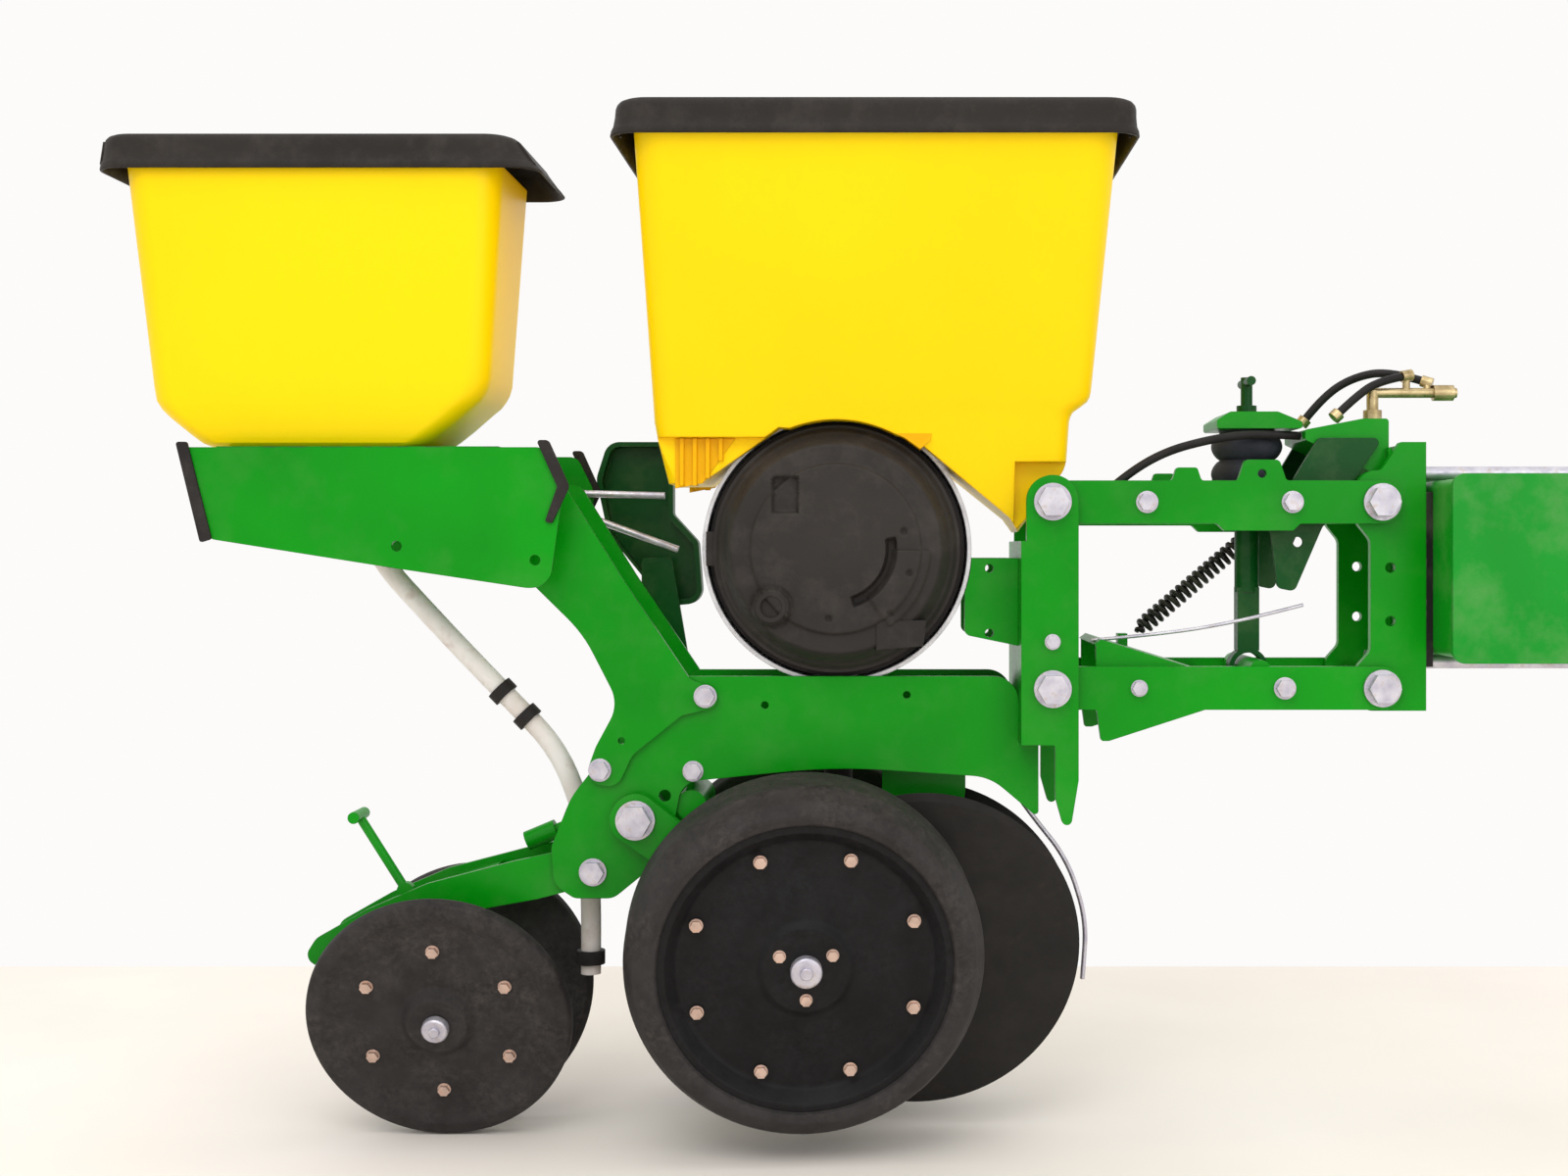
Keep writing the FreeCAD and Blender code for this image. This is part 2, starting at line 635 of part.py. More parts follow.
def air_lines():
    """Brass fittings on the housing and three air hoses."""
    tree = [
        rod("fit_post", 14, (TEE_X, -20, HOUSING_TOP), (TEE_X, -20, TEE_Z + 3)),
        rod("fit_nut", 22, (TEE_X, -20, HOUSING_TOP), (TEE_X, -20, HOUSING_TOP + 12)),
        rod("fit_cross", 12, (TEE_X, -20, TEE_Z), (TEE_X + 100, -20, TEE_Z)),
        rod("fit_end", 19, (TEE_X + 72, -20, TEE_Z), (TEE_X + 96, -20, TEE_Z)),
    ]
    for name in ("air_hose_b", "air_hose_c"):
        end, before = Vector(*HOSES[name][-1]), Vector(*HOSES[name][-2])
        way = (end - before).normalize()
        middle = end + way * 7
        tree.append(rod("fit_arm_" + name[-1], 14, tuple(end + way * 0.8), tuple(end + way * 14)))
        tree.append(rod("fit_neck_" + name[-1], 9, (middle.x, -20, TEE_Z), tuple(middle)))
    stubs = []
    for i, name in enumerate(["air_hose_b", "air_hose_c"]):
        end, beyond = Vector(*HOSES[name][0]), Vector(*HOSES[name][1])
        stubs.append(rod("fit_stub_%d" % i, 16, tuple(end - (beyond - end).normalize() * 9), tuple(end)))
    node("air_fittings", set_of("fittings", [joined("fit_tree", tree)] + stubs))
    for name, points in HOSES.items():
        node(name, pipe(name + "_pipe", points, "hose_dia"))


HOSES = {
    "air_hose_a": [(POST_X + 56.2, -34, CAP_Z - 8), (POST_X - 2, -53, CAP_Z - 6), (POST_X - 56, -62, CAP_Z - 14),
                   (POST_X - 110, -66, CAP_Z - 29), (POST_X - 156, -70, CAP_Z - 57), (POST_X - 182, -78, CAP_Z - 80)],
    "air_hose_b": [(POST_X + 76, 22, CAP_Z + 16), (POST_X + 98, 19, CAP_Z + 44), (POST_X + 131.5, 13, CAP_Z + 65.5),
                   (POST_X + 171, 3, CAP_Z + 72.5), (TEE_X + 60, -12, TEE_Z + 15.5)],
    "air_hose_c": [(POST_X + 103, -34, CAP_Z + 19), (POST_X + 122, -32, CAP_Z + 37), (POST_X + 150, -29, CAP_Z + 57),
                   (TEE_X + 33.6, -22, TEE_Z + 19)],
}


# ------------------------------------------------------------- mast and frame

def mast():
    """Two plates outside the arms on a web behind them."""
    wide = s.mast_wide / 2
    outline = [
        row(-wide, -s.mast_foot), row(-wide, s.mast_top, wide - 0.1), row(wide, s.mast_top, wide - 0.1),
        row(wide, -s.mast_foot - 40, 10), row(wide - 12, -s.mast_foot - 113, 6), row(wide - 27, -s.mast_foot - 60, 6),
        row(wide - 27, -s.mast_foot, 3),
    ]
    holes = [row(0, 0) + (s.pin_dia,), row(0, s.pivot_drop) + (s.pin_dia,), row(0, 54) + (10,)]
    near = plate("mast_side", outline, -MAST_OUT, "mast_plate", holes)
    web = span("mast_web", (REAR_X - wide - 6, -MAST_OUT, LOW_Z - s.mast_foot),
               (REAR_X - wide, MAST_OUT, LOW_Z + s.mast_top - 76))
    node("mast", joined("mast_whole", [near, mirrored("mast_side_left", near), web]))
    grip = MAST_OUT - ARM_IN
    places = [inward(REAR_X, -MAST_OUT, z) for z in (UP_Z, LOW_Z)]
    bolts = both_sides("rear_bolt", lambda n, p: bolt(n, p, grip + 0.5, s.pin_dia, 32, 3, 5), places)
    node("rear_pivot_bolts", set_of("rear_bolts", bolts))


FRAME_BOLTS = [(-402, -11), (-525, -97), (-417, -99)]
SMALL_BOLTS = [(-500, -63)]


def frame():
    """The side plates of the row frame, joined by three cross tubes."""
    web = -s.mast_wide / 2 - 6
    outline = [
        row(web, s.frame_top, 30), row(-425, s.frame_top, 12), row(-494, -45, 70), row(-560, -130, 90),
        row(-583, -188, 14), row(-580, -232, 22), row(-556, -248, 16), row(-510, -248, 22),
        row(-446, -196, 34), row(-430, -112, 26), row(-250, -94, 700), row(-70, -106, 60),
        row(-13, -154, 4), row(-13, -s.mast_foot - 0.5), row(web, -s.mast_foot - 0.5),
    ]
    holes = [row(*GAUGE_HOLE) + (s.gauge_pin,), row(*CLOSE_HOLE) + (s.close_pin,),
             row(-333, -22) + (9,), row(-167, -10) + (9,), row(-450, -128) + (14,)]
    holes += [row(*p) + (12,) for p in FRAME_BOLTS] + [row(*p) + (8,) for p in SMALL_BOLTS]
    near = plate("frame_side", outline, -s.frame_half, "frame_plate", holes)
    inner = s.frame_half - s.frame_plate
    tubes = []
    for i, (back, up) in enumerate([(-60, -30), (-444, -60), (-420, -140)]):
        x, z = row(back, up)
        tubes.append(rod("frame_tube_%d" % i, 36, (x, -inner, z), (x, inner, z)))
    node("row_frame_plates", joined("frame_whole", [near, mirrored("frame_side_left", near)] + tubes))
    outer = -s.frame_half - s.tray_plate
    grip = s.tray_plate + s.frame_plate
    places = [inward(row(*p)[0], outer, row(*p)[1]) for p in FRAME_BOLTS[:2]]
    bolts = both_sides("frame_bolt", lambda n, p: bolt(n, p, grip, 12, 20, 5, 3), places)
    flush = [inward(row(*FRAME_BOLTS[2])[0], -s.frame_half, row(*FRAME_BOLTS[2])[1])]
    bolts += both_sides("frame_low", lambda n, p: bolt(n, p, s.frame_plate, 12, 18, 4, 2), flush)
    dot = [inward(REAR_X, -MAST_OUT, LOW_Z + 54)]
    bolts += both_sides("mast_dot", lambda n, p: screw(n, p, 10, 9.5, 14), dot)
    node("frame_bolts", set_of("frame_bolt_set", bolts + pivot_pins()))


GAUGE_HOLE = (-482, -154)
CLOSE_HOLE = (-534, -217)


def meter_bracket():
    """A block between mast web and seed meter, with the meter's clamp."""
    back = -s.mast_wide / 2 - 6
    block = plate("meter_block", [row(back, 47), row(back, 150), row(back - 63, 150, 8), row(back - 63, 60, 8)],
                  -58, 116)
    hollow = span("meter_block_gap", (REAR_X + back - 64, -44, LOW_Z + 40), (REAR_X + back - 8, 44, LOW_Z + 151))
    holes = []
    for i, (u, w) in enumerate([(-70, 138), (-70, 62)]):
        x, z = row(u, w)
        holes.append(rod("meter_block_hole_%d" % i, 10, (x, -60, z), (x, 60, z)))
    seat = rod("meter_block_seat", "meter_dia + 2 * gap", (METER_X, -70, METER_Z), (METER_X, 70, METER_Z))
    node("meter_bracket", trimmed("meter_block_cut", block, [hollow, seat] + holes))


# ----------------------------------------------------------- hopper supports

def hopper_support():
    """A tray for the small hopper on two curved arms bolted to the frame."""
    low_y = -s.tray_half
    tray = plate("tray_side", [row(-990, s.tray_top), row(-582, s.tray_top, 14), row(-560, s.tray_top - 44, 30),
                               row(-575, 118, 24), row(-600, 116, 40), row(-760, 140, 60), row(-962, 172, 6)],
                 low_y, "tray_plate", [row(-750, 164) + (12,), row(-592, 148) + (12,)])
    arm_outline = [row(-640, 150), row(-640, 240, 20), row(-570, 240, 20), row(-500, 128, 240), row(-420, 9, 10),
                   row(-388, -4, 12), row(-388, -24, 12), row(-430, -34, 10), row(-487, -80, 20), row(-505, -118, 18),
                   row(-545, -112, 18), row(-530, -70, 30), row(-503, -20, 40), row(-545, 62, 160), row(-600, 116, 40)]
    holes = [row(*p) + (12,) for p in FRAME_BOLTS[:2]] + [row(*SMALL_BOLTS[0]) + (8,)]
    arm = plate("tray_arm", arm_outline, -s.frame_half - s.tray_plate, "tray_plate", holes)
    tie_a = span("tray_tie_a", row(-636, 0)[:1] + (-s.tray_half + 1, LOW_Z + 158),
                 row(-600, 0)[:1] + (s.tray_half - 1, LOW_Z + 164))
    tie_b = span("tray_tie_b", row(-956, 0)[:1] + (-s.tray_half + 1, LOW_Z + 200),
                 row(-950, 0)[:1] + (s.tray_half - 1, LOW_Z + s.tray_top - 3))
    tie_c = span("tray_tie_c", row(-640, 0)[:1] + (-s.tray_half + 1, LOW_Z + 158),
                 row(-634, 0)[:1] + (s.tray_half - 1, LOW_Z + 240))
    shelf = span("tray_shelf", row(-956, 0)[:1] + (-s.tray_half + 1, LOW_Z + s.tray_top - 3),
                 row(-634, 0)[:1] + (s.tray_half - 1, LOW_Z + s.tray_top + 1))
    well = span("tray_well", row(-880, 0)[:1] + (-40, LOW_Z + s.tray_top - 10),
                row(-790, 0)[:1] + (40, LOW_Z + s.tray_top + 10))
    parts = [tray, mirrored("tray_side_left", tray), arm, mirrored("tray_arm_left", arm), tie_a, tie_b, tie_c, shelf]
    node("hopper_support", trimmed("tray_cut", joined("tray_whole", parts), [well]))
    strip = plate("liner_rear", [row(-1001, s.tray_top + 6, 3), row(-988, s.tray_top + 6, 3), row(-960, 172, 3),
                                 row(-973, 168, 3)], low_y - 4, 3.7)
    lip = plate("liner_front", [row(-590, s.tray_top + 8, 3), row(-576, s.tray_top + 8, 6), row(-552, 232, 10),
                                row(-572, 190, 2), row(-580, 192, 2), row(-566, 232, 6)], low_y - 4, 3.7)
    parts = [strip, mirrored("liner_rear_left", strip), lip, mirrored("liner_front_left", lip)]
    node("support_liners", set_of("liner_set", parts))


# -------------------------------------------------------------------- hoppers

def tapered(name, outline, half_top, half_low, top, low):
    """A side outline cut to a width that narrows from the rim to the bottom."""
    wide = half_top + 5
    side = plate(name + "_side", outline, -wide, 2 * wide)
    back = min(p[0] for p in outline) - 5
    length = max(p[0] for p in outline) - back + 5
    ends = [(-half_low, low, 20), (half_low, low, 20), (half_top, top), (-half_top, top)]
    return shared(name, side, cross_plate(name + "_end", ends, back, length))


def shrunk(outline, wall, top):
    """The outline moved in by the wall, its rim raised past the top."""
    edges = []
    count = len(outline)
    area = sum(outline[i - 1][0] * outline[i][1] - outline[i][0] * outline[i - 1][1] for i in range(count))
    sign = 1 if area > 0 else -1
    for i in range(count):
        a, b = outline[i][:2], outline[(i + 1) % count][:2]
        length = math.hypot(b[0] - a[0], b[1] - a[1])
        nx, nz = -sign * (b[1] - a[1]) / length, sign * (b[0] - a[0]) / length
        rim = a[1] >= top - 1e-6 and b[1] >= top - 1e-6
        move = -wall if rim else wall
        edges.append((a[0] + nx * move, a[1] + nz * move, b[0] - a[0], b[1] - a[1]))
    points = []
    for i in range(count):
        ax, az, adx, adz = edges[i - 1]
        bx, bz, bdx, bdz = edges[i]
        cross = adx * bdz - adz * bdx
        t = ((bx - ax) * bdz - (bz - az) * bdx) / cross
        radius = outline[i][2] if len(outline[i]) > 2 else 0
        points.append((ax + adx * t, az + adz * t) + ((max(radius - wall, 2),) if radius else ()))
    return points


def hopper_shell(name, outline, half_top, half_low, top, low, cuts=()):
    """An open-topped hopper: the outer shape less the same shape one wall smaller."""
    wall = s.hopper_wall
    slope = (half_top - half_low) / (top - low)
    outer = tapered(name + "_outer", outline, half_top, half_low, top, low)
    inner = tapered(name + "_inner", shrunk(outline, wall, top), half_top - wall + slope * wall,
                    half_low - wall + slope * wall, top + wall, low + wall)
    return outer, inner


FUNNEL_HALF = ARM_IN - 24


def seed_hopper():
    """The seed hopper: a deep box arched over the meter, with a funnel ahead of it."""
    top = LOW_Z + s.seed_top
    outline = [
        row(-473, s.seed_top), row(-460, 300, 20), row(-441, 226, 12), row(-402, 233, 6), row(-330, 330, 30),
        row(-140, 330, 40), row(-52, 192, 8), row(-36, 181, 6), row(18, 252, 16), row(22, 316, 10),
        row(45, 336, 10), row(67, s.seed_top),
    ]
    wall = s.hopper_wall
    near, face, end = s.dome_dia / 2 + 5, -FUNNEL_HALF - 0.5, 260
    cuts = [
        rod("seed_arch", "meter_dia + 2 * gap + 8", (METER_X, face, METER_Z), (METER_X, end, METER_Z)),
        rod("seed_arch_near", 2 * near, (METER_X, -end, METER_Z), (METER_X, face, METER_Z)),
    ]
    thick = [
        rod("seed_arch_wall", "meter_dia + 2 * gap + 8 + 2 * hopper_wall", (METER_X, face - wall, METER_Z),
            (METER_X, end, METER_Z)),
        rod("seed_arch_near_wall", 2 * (near + wall), (METER_X, -end, METER_Z), (METER_X, face, METER_Z)),
    ]
    outer, inner = hopper_shell("seed", outline, s.seed_half_top, s.seed_half_low, top, LOW_Z + 181)
    chute = rod("seed_chute", 60, (METER_X + 40, 0, METER_Z + 100), (METER_X + 40, 0, METER_Z + 200))
    for side in (-1, 1):
        for group, grow in ((cuts, 0), (thick, wall)):
            low, high = sorted((side * (FUNNEL_HALF - grow), side * 300))
            group.append(span("seed_notch", (REAR_X - 42 - grow, low, LOW_Z),
                              (REAR_X + 90, high, LOW_Z + 262 + grow)))
            low, high = sorted((side * (82 - grow), side * 300))
            group.append(span("seed_step", (REAR_X - 480, low, LOW_Z), (REAR_X - 330, high, LOW_Z + 290 + grow)))
    room = trimmed("seed_room", inner, thick)
    shell = trimmed("seed_arched", outer, cuts)
    node("seed_hopper", trimmed("seed_shell", shell, [room, chute]))


def small_hopper():
    """The rear hopper, seated on the support tray."""
    top = LOW_Z + s.small_top
    low = s.tray_top + 1
    outline = [row(-1075, s.small_top), row(-1046, low + 48, 30), row(-986, low, 20), row(-735, low, 20),
               row(-690, low + 34, 30), row(-654, low + 68, 20), row(-637, s.small_top)]
    outer, inner = hopper_shell("small", outline, s.small_half_top, s.small_half_low, top, LOW_Z + low)
    x, z = row(-835, low)
    hole = rod("small_outlet", "drop_dia", (x, 0, z - 1), (x, 0, z + 20))
    node("small_hopper", trimmed("small_shell", outer, [inner, hole]))


def lid(name, rear, front, half, top, flare_rear, flare_front):
    """A crowned lid with a skirt that flares at its ends."""
    wall = s.lid_wall
    deep = s.lid_skirt
    outline = [row(rear, top - deep, 4), row(rear + flare_rear, top - 8, 8), row((rear + front) / 2, top, 900),
               row(front - flare_front, top - 8, 8), row(front, top - deep, 4)]
    outer = plate(name + "_outer", outline, -half, 2 * half)
    soft = [(-half, LOW_Z + top - deep - 2), (half, LOW_Z + top - deep - 2), (half, LOW_Z + top - 3, 12),
            (half - 30, LOW_Z + top + 1, 20), (-half + 30, LOW_Z + top + 1, 20), (-half, LOW_Z + top - 3, 12)]
    x0 = row(rear, 0)[0] - 5
    ends = cross_plate(name + "_ends", soft, x0, front - rear + 10)
    crowned = shared(name + "_crowned", outer, ends)
    inside = [row(rear + wall, top - deep - 1), row(rear + flare_rear + wall, top - 8 - wall, 5),
              row(front - flare_front - wall, top - 8 - wall, 5), row(front - wall, top - deep - 1)]
    room = plate(name + "_room", inside, -half + wall, 2 * (half - wall))
    return trimmed(name + "_shell", crowned, [room])


def lids():
    node("seed_lid", lid("seed_lid_body", -498, 90, 214, s.seed_top + 38, 9, 5))
    node("small_lid", lid("small_lid_body", -1104, -590, 112, s.small_top + 38, 7, 34))


# ----------------------------------------------------------------- seed meter

METER_FACE = -60
METER_REAR = 46
DISC_FACE = METER_FACE + 6


def meter_place(y=0):
    return Placement(Vector(METER_X, y, METER_Z), Rotation())


def meter():
    """An open round housing, the seed disc in it, and the cover over it."""
    out, wall = s.meter_dia / 2, s.meter_wall
    cup = turned("meter_cup", [(9.2, METER_REAR - wall), (9.2, METER_REAR), (out - 8, METER_REAR),
                               (out, METER_REAR - 8), (out, METER_FACE), (out - wall, METER_FACE),
                               (out - wall, METER_REAR - wall)], meter_place())
    ribs = []
    for i in range(6):
        angle = math.radians(60 * i + 30)
        inner = (METER_X + 30 * math.cos(angle), METER_REAR + 2, METER_Z + 30 * math.sin(angle))
        outer = (METER_X + (out - 12) * math.cos(angle), METER_REAR + 2, METER_Z + (out - 12) * math.sin(angle))
        ribs.append(rod("meter_rib_%d" % i, 8, inner, outer))
    hub = rod("meter_hub", 52, (METER_X, METER_REAR - 12, METER_Z), (METER_X, METER_REAR + 12, METER_Z))
    bore = rod("meter_bore", 18.4, (METER_X, METER_REAR - 13, METER_Z), (METER_X, METER_REAR + 13, METER_Z))
    spout = span("meter_spout", (METER_X - 24, -26, METER_Z - out - 4), (METER_X + 24, 26, METER_Z - out + 14))
    throat = span("meter_throat", (METER_X - 18, -20, METER_Z - out - 5), (METER_X + 18, 20, METER_Z - out + 40))
    whole = joined("meter_whole", [cup, hub, spout] + ribs)
    node("meter_housing", trimmed("meter_cut", whole, [bore, throat]))
    r = out - wall - 3
    disc = turned("seed_plate", [(0, DISC_FACE), (0, METER_REAR + 40), (9, METER_REAR + 40), (9, DISC_FACE + 14),
                                 (24, DISC_FACE + 12), (26, DISC_FACE + 4), (r, DISC_FACE + 4), (r, DISC_FACE)],
                  meter_place())
    cells = []
    for i in range(30):
        angle = math.radians(12 * i)
        x = METER_X + (r - 12) * math.cos(angle)
        z = METER_Z + (r - 12) * math.sin(angle)
        cells.append(rod("seed_cell_%d" % i, 5, (x, DISC_FACE - 1, z), (x, DISC_FACE + 5, z)))
    node("seed_disc", trimmed("seed_plate_cut", disc, cells))
    cover_radius = s.dome_dia / 2
    face = METER_FACE - 0.4
    low = face - s.dome_deep
    points = [(0, low + 6), (26, low + 6, 4), (34, low, 4), (cover_radius - 26, low, 18),
              (cover_radius - 2, low + 26, 20), (cover_radius, face, 0), (cover_radius - 4, face, 0),
              (cover_radius - 6, low + 28, 16), (cover_radius - 28, low + 5, 14), (30, low + 5, 4),
              (24, low + 11, 4), (0, low + 11)]
    dome = turned("dome_shell", points, meter_place())
    port = Vector(METER_X - 74, 0, METER_Z - 67)
    boss = rod("dome_boss", "port_dia + 12", (port.x, low - 8, port.z), (port.x, low + 12, port.z))
    bore = rod("dome_port", "port_dia", (port.x, low - 9, port.z), (port.x, low + 14, port.z))
    box_out = span("dome_box", (METER_X + 45, low + 4, METER_Z - 118), (METER_X + 100, face - 3, METER_Z - 82))
    ear = span("dome_ear", (METER_X - cover_radius - 8, face - 14, METER_Z - 20),
               (METER_X - cover_radius + 6, face - 2, METER_Z + 20))
    pin_x = METER_X - cover_radius - 6
    eye = rod("dome_eye", 14, (pin_x, face - 8, METER_Z - 20), (pin_x, face - 8, METER_Z + 20))
    rib_parts = []
    for i, (start, end) in enumerate([(20, 48), (52, 62), (110, 128), (150, 160)]):
        for step in (start, end):
            angle = math.radians(step)
            rib_parts.append(rod("dome_rib_%d" % i, 7,
                                 (METER_X + 70 * math.cos(angle), low + 1, METER_Z + 70 * math.sin(angle)),
                                 (METER_X + 116 * math.cos(angle), low + 1, METER_Z + 116 * math.sin(angle))))
    whole = joined("dome_whole", [dome, boss, box_out, ear, eye] + rib_parts)
    node("vacuum_dome", trimmed("dome_cut", whole, [bore]))


def drive():
    """The far side: sprocket on the meter shaft, its cover, and the drive rods."""
    y0 = METER_REAR + 24
    wheel = turned("sprocket_wheel", [(9.1, y0), (9.1, y0 + 14), (20, y0 + 14), (20, y0 + 8), (52, y0 + 8),
                                      (56, y0 + 4), (52, y0)], meter_place())
    node("drive_sprocket", wheel)
    cover = plate("cover_plate", [row(-560, 250, 24), row(-545, 297, 20), row(-462, 297, 12), row(-462, 205, 8),
                                  row(-430, 170, 12), row(-424, 92, 20), row(-470, 88, 20), row(-545, 180, 40)],
                  132, 26)
    room = plate("cover_room", [row(-553, 248, 18), row(-540, 291, 14), row(-468, 291, 8), row(-468, 200, 8),
                                row(-436, 166, 8), row(-431, 98, 14), row(-472, 95, 14), row(-540, 180, 34)],
                 131, 23)
    stay = rod("cover_stay", 16, row(-480, 0)[:1] + (s.tray_half, LOW_Z + 130), row(-480, 0)[:1] + (156, LOW_Z + 130))
    foot = plate("cover_foot", [row(-500, 110, 6), row(-500, 150, 6), row(-462, 150, 6), row(-440, 20, 6),
                                row(-460, -10, 6)], s.tray_half - 6, 6)
    arm = rod("cover_arm", 14, row(-455, 0)[:1] + (s.frame_half + 6, LOW_Z + 2), row(-455, 0)[:1] + (s.tray_half, LOW_Z + 2))
    node("drive_cover", joined("cover_whole", [trimmed("cover_shell", cover, [room]), stay, foot, arm]))
    rods = [
        rod("drive_rod_a", 9, row(-634, 0)[:1] + (108, LOW_Z + 232), row(-470, 0)[:1] + (108, LOW_Z + 228)),
        rod("drive_rod_b", 9, row(-600, 0)[:1] + (100, LOW_Z + 214), row(-452, 0)[:1] + (100, LOW_Z + 160)),
    ]
    node("drive_rods", set_of("rod_pair", rods))


# ----------------------------------------------------------------- tubes

DROP_ROUTE = [row(-838, 277), row(-822, 190), row(-790, 135), row(-700, 38), row(-585, -80), row(-552, -168),
              row(-546, -262), row(-546.5, -350)]


def tubes():
    """The seed tube between the discs, the drop tube from the rear hopper and its clips."""
    seed = [(METER_X, 0, METER_Z - s.meter_dia / 2 - 4.3), (METER_X, 0, METER_Z - 300),
            (METER_X + 4, 0, METER_Z - 400), (METER_X - 26, 0, METER_Z - 500)]
    node("seed_tube", pipe("seed_pipe", seed, 34, 28))
    route = [(x, 0, z) for x, z in DROP_ROUTE]
    node("drop_tube", pipe("drop_pipe", route, "drop_dia", s.drop_dia - 4))
    clips = []
    for i, distance in enumerate([68, 110]):
        a, b = Vector(*route[3]), Vector(*route[4])
        lean = (b - a).normalize()
        middle = a + lean * distance
        ring = rod("clip_ring_%d" % i, s.drop_dia + 9, tuple(middle - lean * 7), tuple(middle + lean * 7))
        core = rod("clip_core_%d" % i, s.drop_dia + 0.2, tuple(middle - lean * 8), tuple(middle + lean * 8))
        clips.append(trimmed("clip_%d" % i, ring, [core]))
    end = Vector(*route[-1])
    lean = (Vector(*route[-2]) - end).normalize()
    ring = rod("clip_end_ring", s.drop_dia + 10, tuple(end + lean * 12), tuple(end + lean * 28))
    core = rod("clip_end_core", s.drop_dia + 0.2, tuple(end + lean * 11), tuple(end + lean * 29))
    clips.append(trimmed("clip_end", ring, [core]))
    node("tube_clips", set_of("clip_set", clips))


# ------------------------------------------------- wheels and discs on spindles

def outward(toe, lean):
    """The outward direction of a right-hand wheel from its toe and lean in degrees."""
    toe, lean = math.radians(toe), math.radians(lean)
    return Vector(math.sin(toe), -math.cos(toe) * math.cos(lean), -math.sin(lean)).normalize()


OPENER_OUT = outward(s.toe_angle, s.lean_angle)
OPENER_TURN = Rotation(Vector(0, -1, 0), OPENER_OUT)
CLOSE_OUT = outward(0, s.close_lean)
CLOSE_TURN = Rotation(Vector(0, -1, 0), CLOSE_OUT)
DISC_TILT = math.acos(-OPENER_OUT.y)
DISC_OUT = s.disc_dia / 2 * math.tan(DISC_TILT) + s.disc_thick / 2 + s.disc_gap
DISC_PLACE = Placement(Vector(DISC_CENTRE[0], -DISC_OUT, DISC_CENTRE[1]), OPENER_TURN)
GAUGE_PLACE = Placement(Vector(GAUGE_CENTRE[0], -s.gauge_out, GAUGE_CENTRE[1]), OPENER_TURN)
CLOSE_PLACE = Placement(Vector(CLOSE_CENTRE[0], -s.close_out, CLOSE_CENTRE[1]), CLOSE_TURN)


def pair(label, piece):
    """A right-hand piece and its mirror image as two nodes."""
    node(label + "_right", piece)
    node(label + "_left", mirrored(label + "_mirror", piece))


def opener_discs():
    r, half = s.disc_dia / 2, s.disc_thick / 2
    bore = s.axle_dia / 2 + s.fit
    points = [(bore, half), (r - 10, half), (r, 0.2), (r, -0.2), (r - 10, -half), (52, -half), (48, -half - 5),
              (30, -half - 6), (28, -half - 13), (bore, -half - 13)]
    pair("opener_disc", turned("disc_body", points, DISC_PLACE))


def disc_spindles():
    """A spindle for each disc on a shank between them, and the scrapers."""
    x, z = DISC_CENTRE
    parts = []
    lean = OPENER_OUT
    centre = Vector(x, -DISC_OUT, z)
    for sign in (1, -1):
        way = Vector(lean.x, lean.y * sign, lean.z)
        hub = Vector(centre.x, centre.y * sign, centre.z)
        side = "near" if sign == 1 else "far"
        parts.append(rod("spindle_" + side, "axle_dia", tuple(hub - way * 22), tuple(hub + way * 15.2)))
        parts.append(rod("spindle_seat_" + side, 34, tuple(hub - way * 22), tuple(hub - way * 3.5)))
        parts.append(hexagon("spindle_nut_" + side, 27, 7, tuple(hub + way * 15.2), tuple(way)))
    shank = plate("disc_shank", [row(-196, -128), row(-96, -128), row(-120, -310, 20), row(-140, -336, 14),
                                 row(-172, -336, 14), row(-180, -300, 20)], -11, 22)
    top = span("shank_top", (row(-250, 0)[0], -s.frame_half + s.frame_plate, LOW_Z - 84),
               (row(-90, 0)[0], s.frame_half - s.frame_plate, LOW_Z - 70))
    stem = span("shank_stem", (row(-196, 0)[0], -11, LOW_Z - 128), (row(-96, 0)[0], 11, LOW_Z - 70))
    seeds = rod("shank_way", 36, (METER_X, 0, LOW_Z - 90), (METER_X, 0, LOW_Z - 60))
    node("disc_spindles", trimmed("shank_cut", joined("shank_whole", parts + [shank, top, stem]), [seeds]))
    radius = s.disc_dia / 2 + 14
    route = []
    route.append((x + 86, 30, z + 224))
    for degrees in (50, 28, 6, -14):
        angle = math.radians(degrees)
        route.append((x + radius * math.cos(angle), 30, z + radius * math.sin(angle)))
    wire = pipe("scraper_wire", route, 6)
    mount = rod("scraper_mount", 14, (route[0][0], 26, route[0][2]), (route[0][0], s.frame_half - s.frame_plate, route[0][2]))
    node("disc_scrapers", joined("scraper_whole", [wire, mount]))


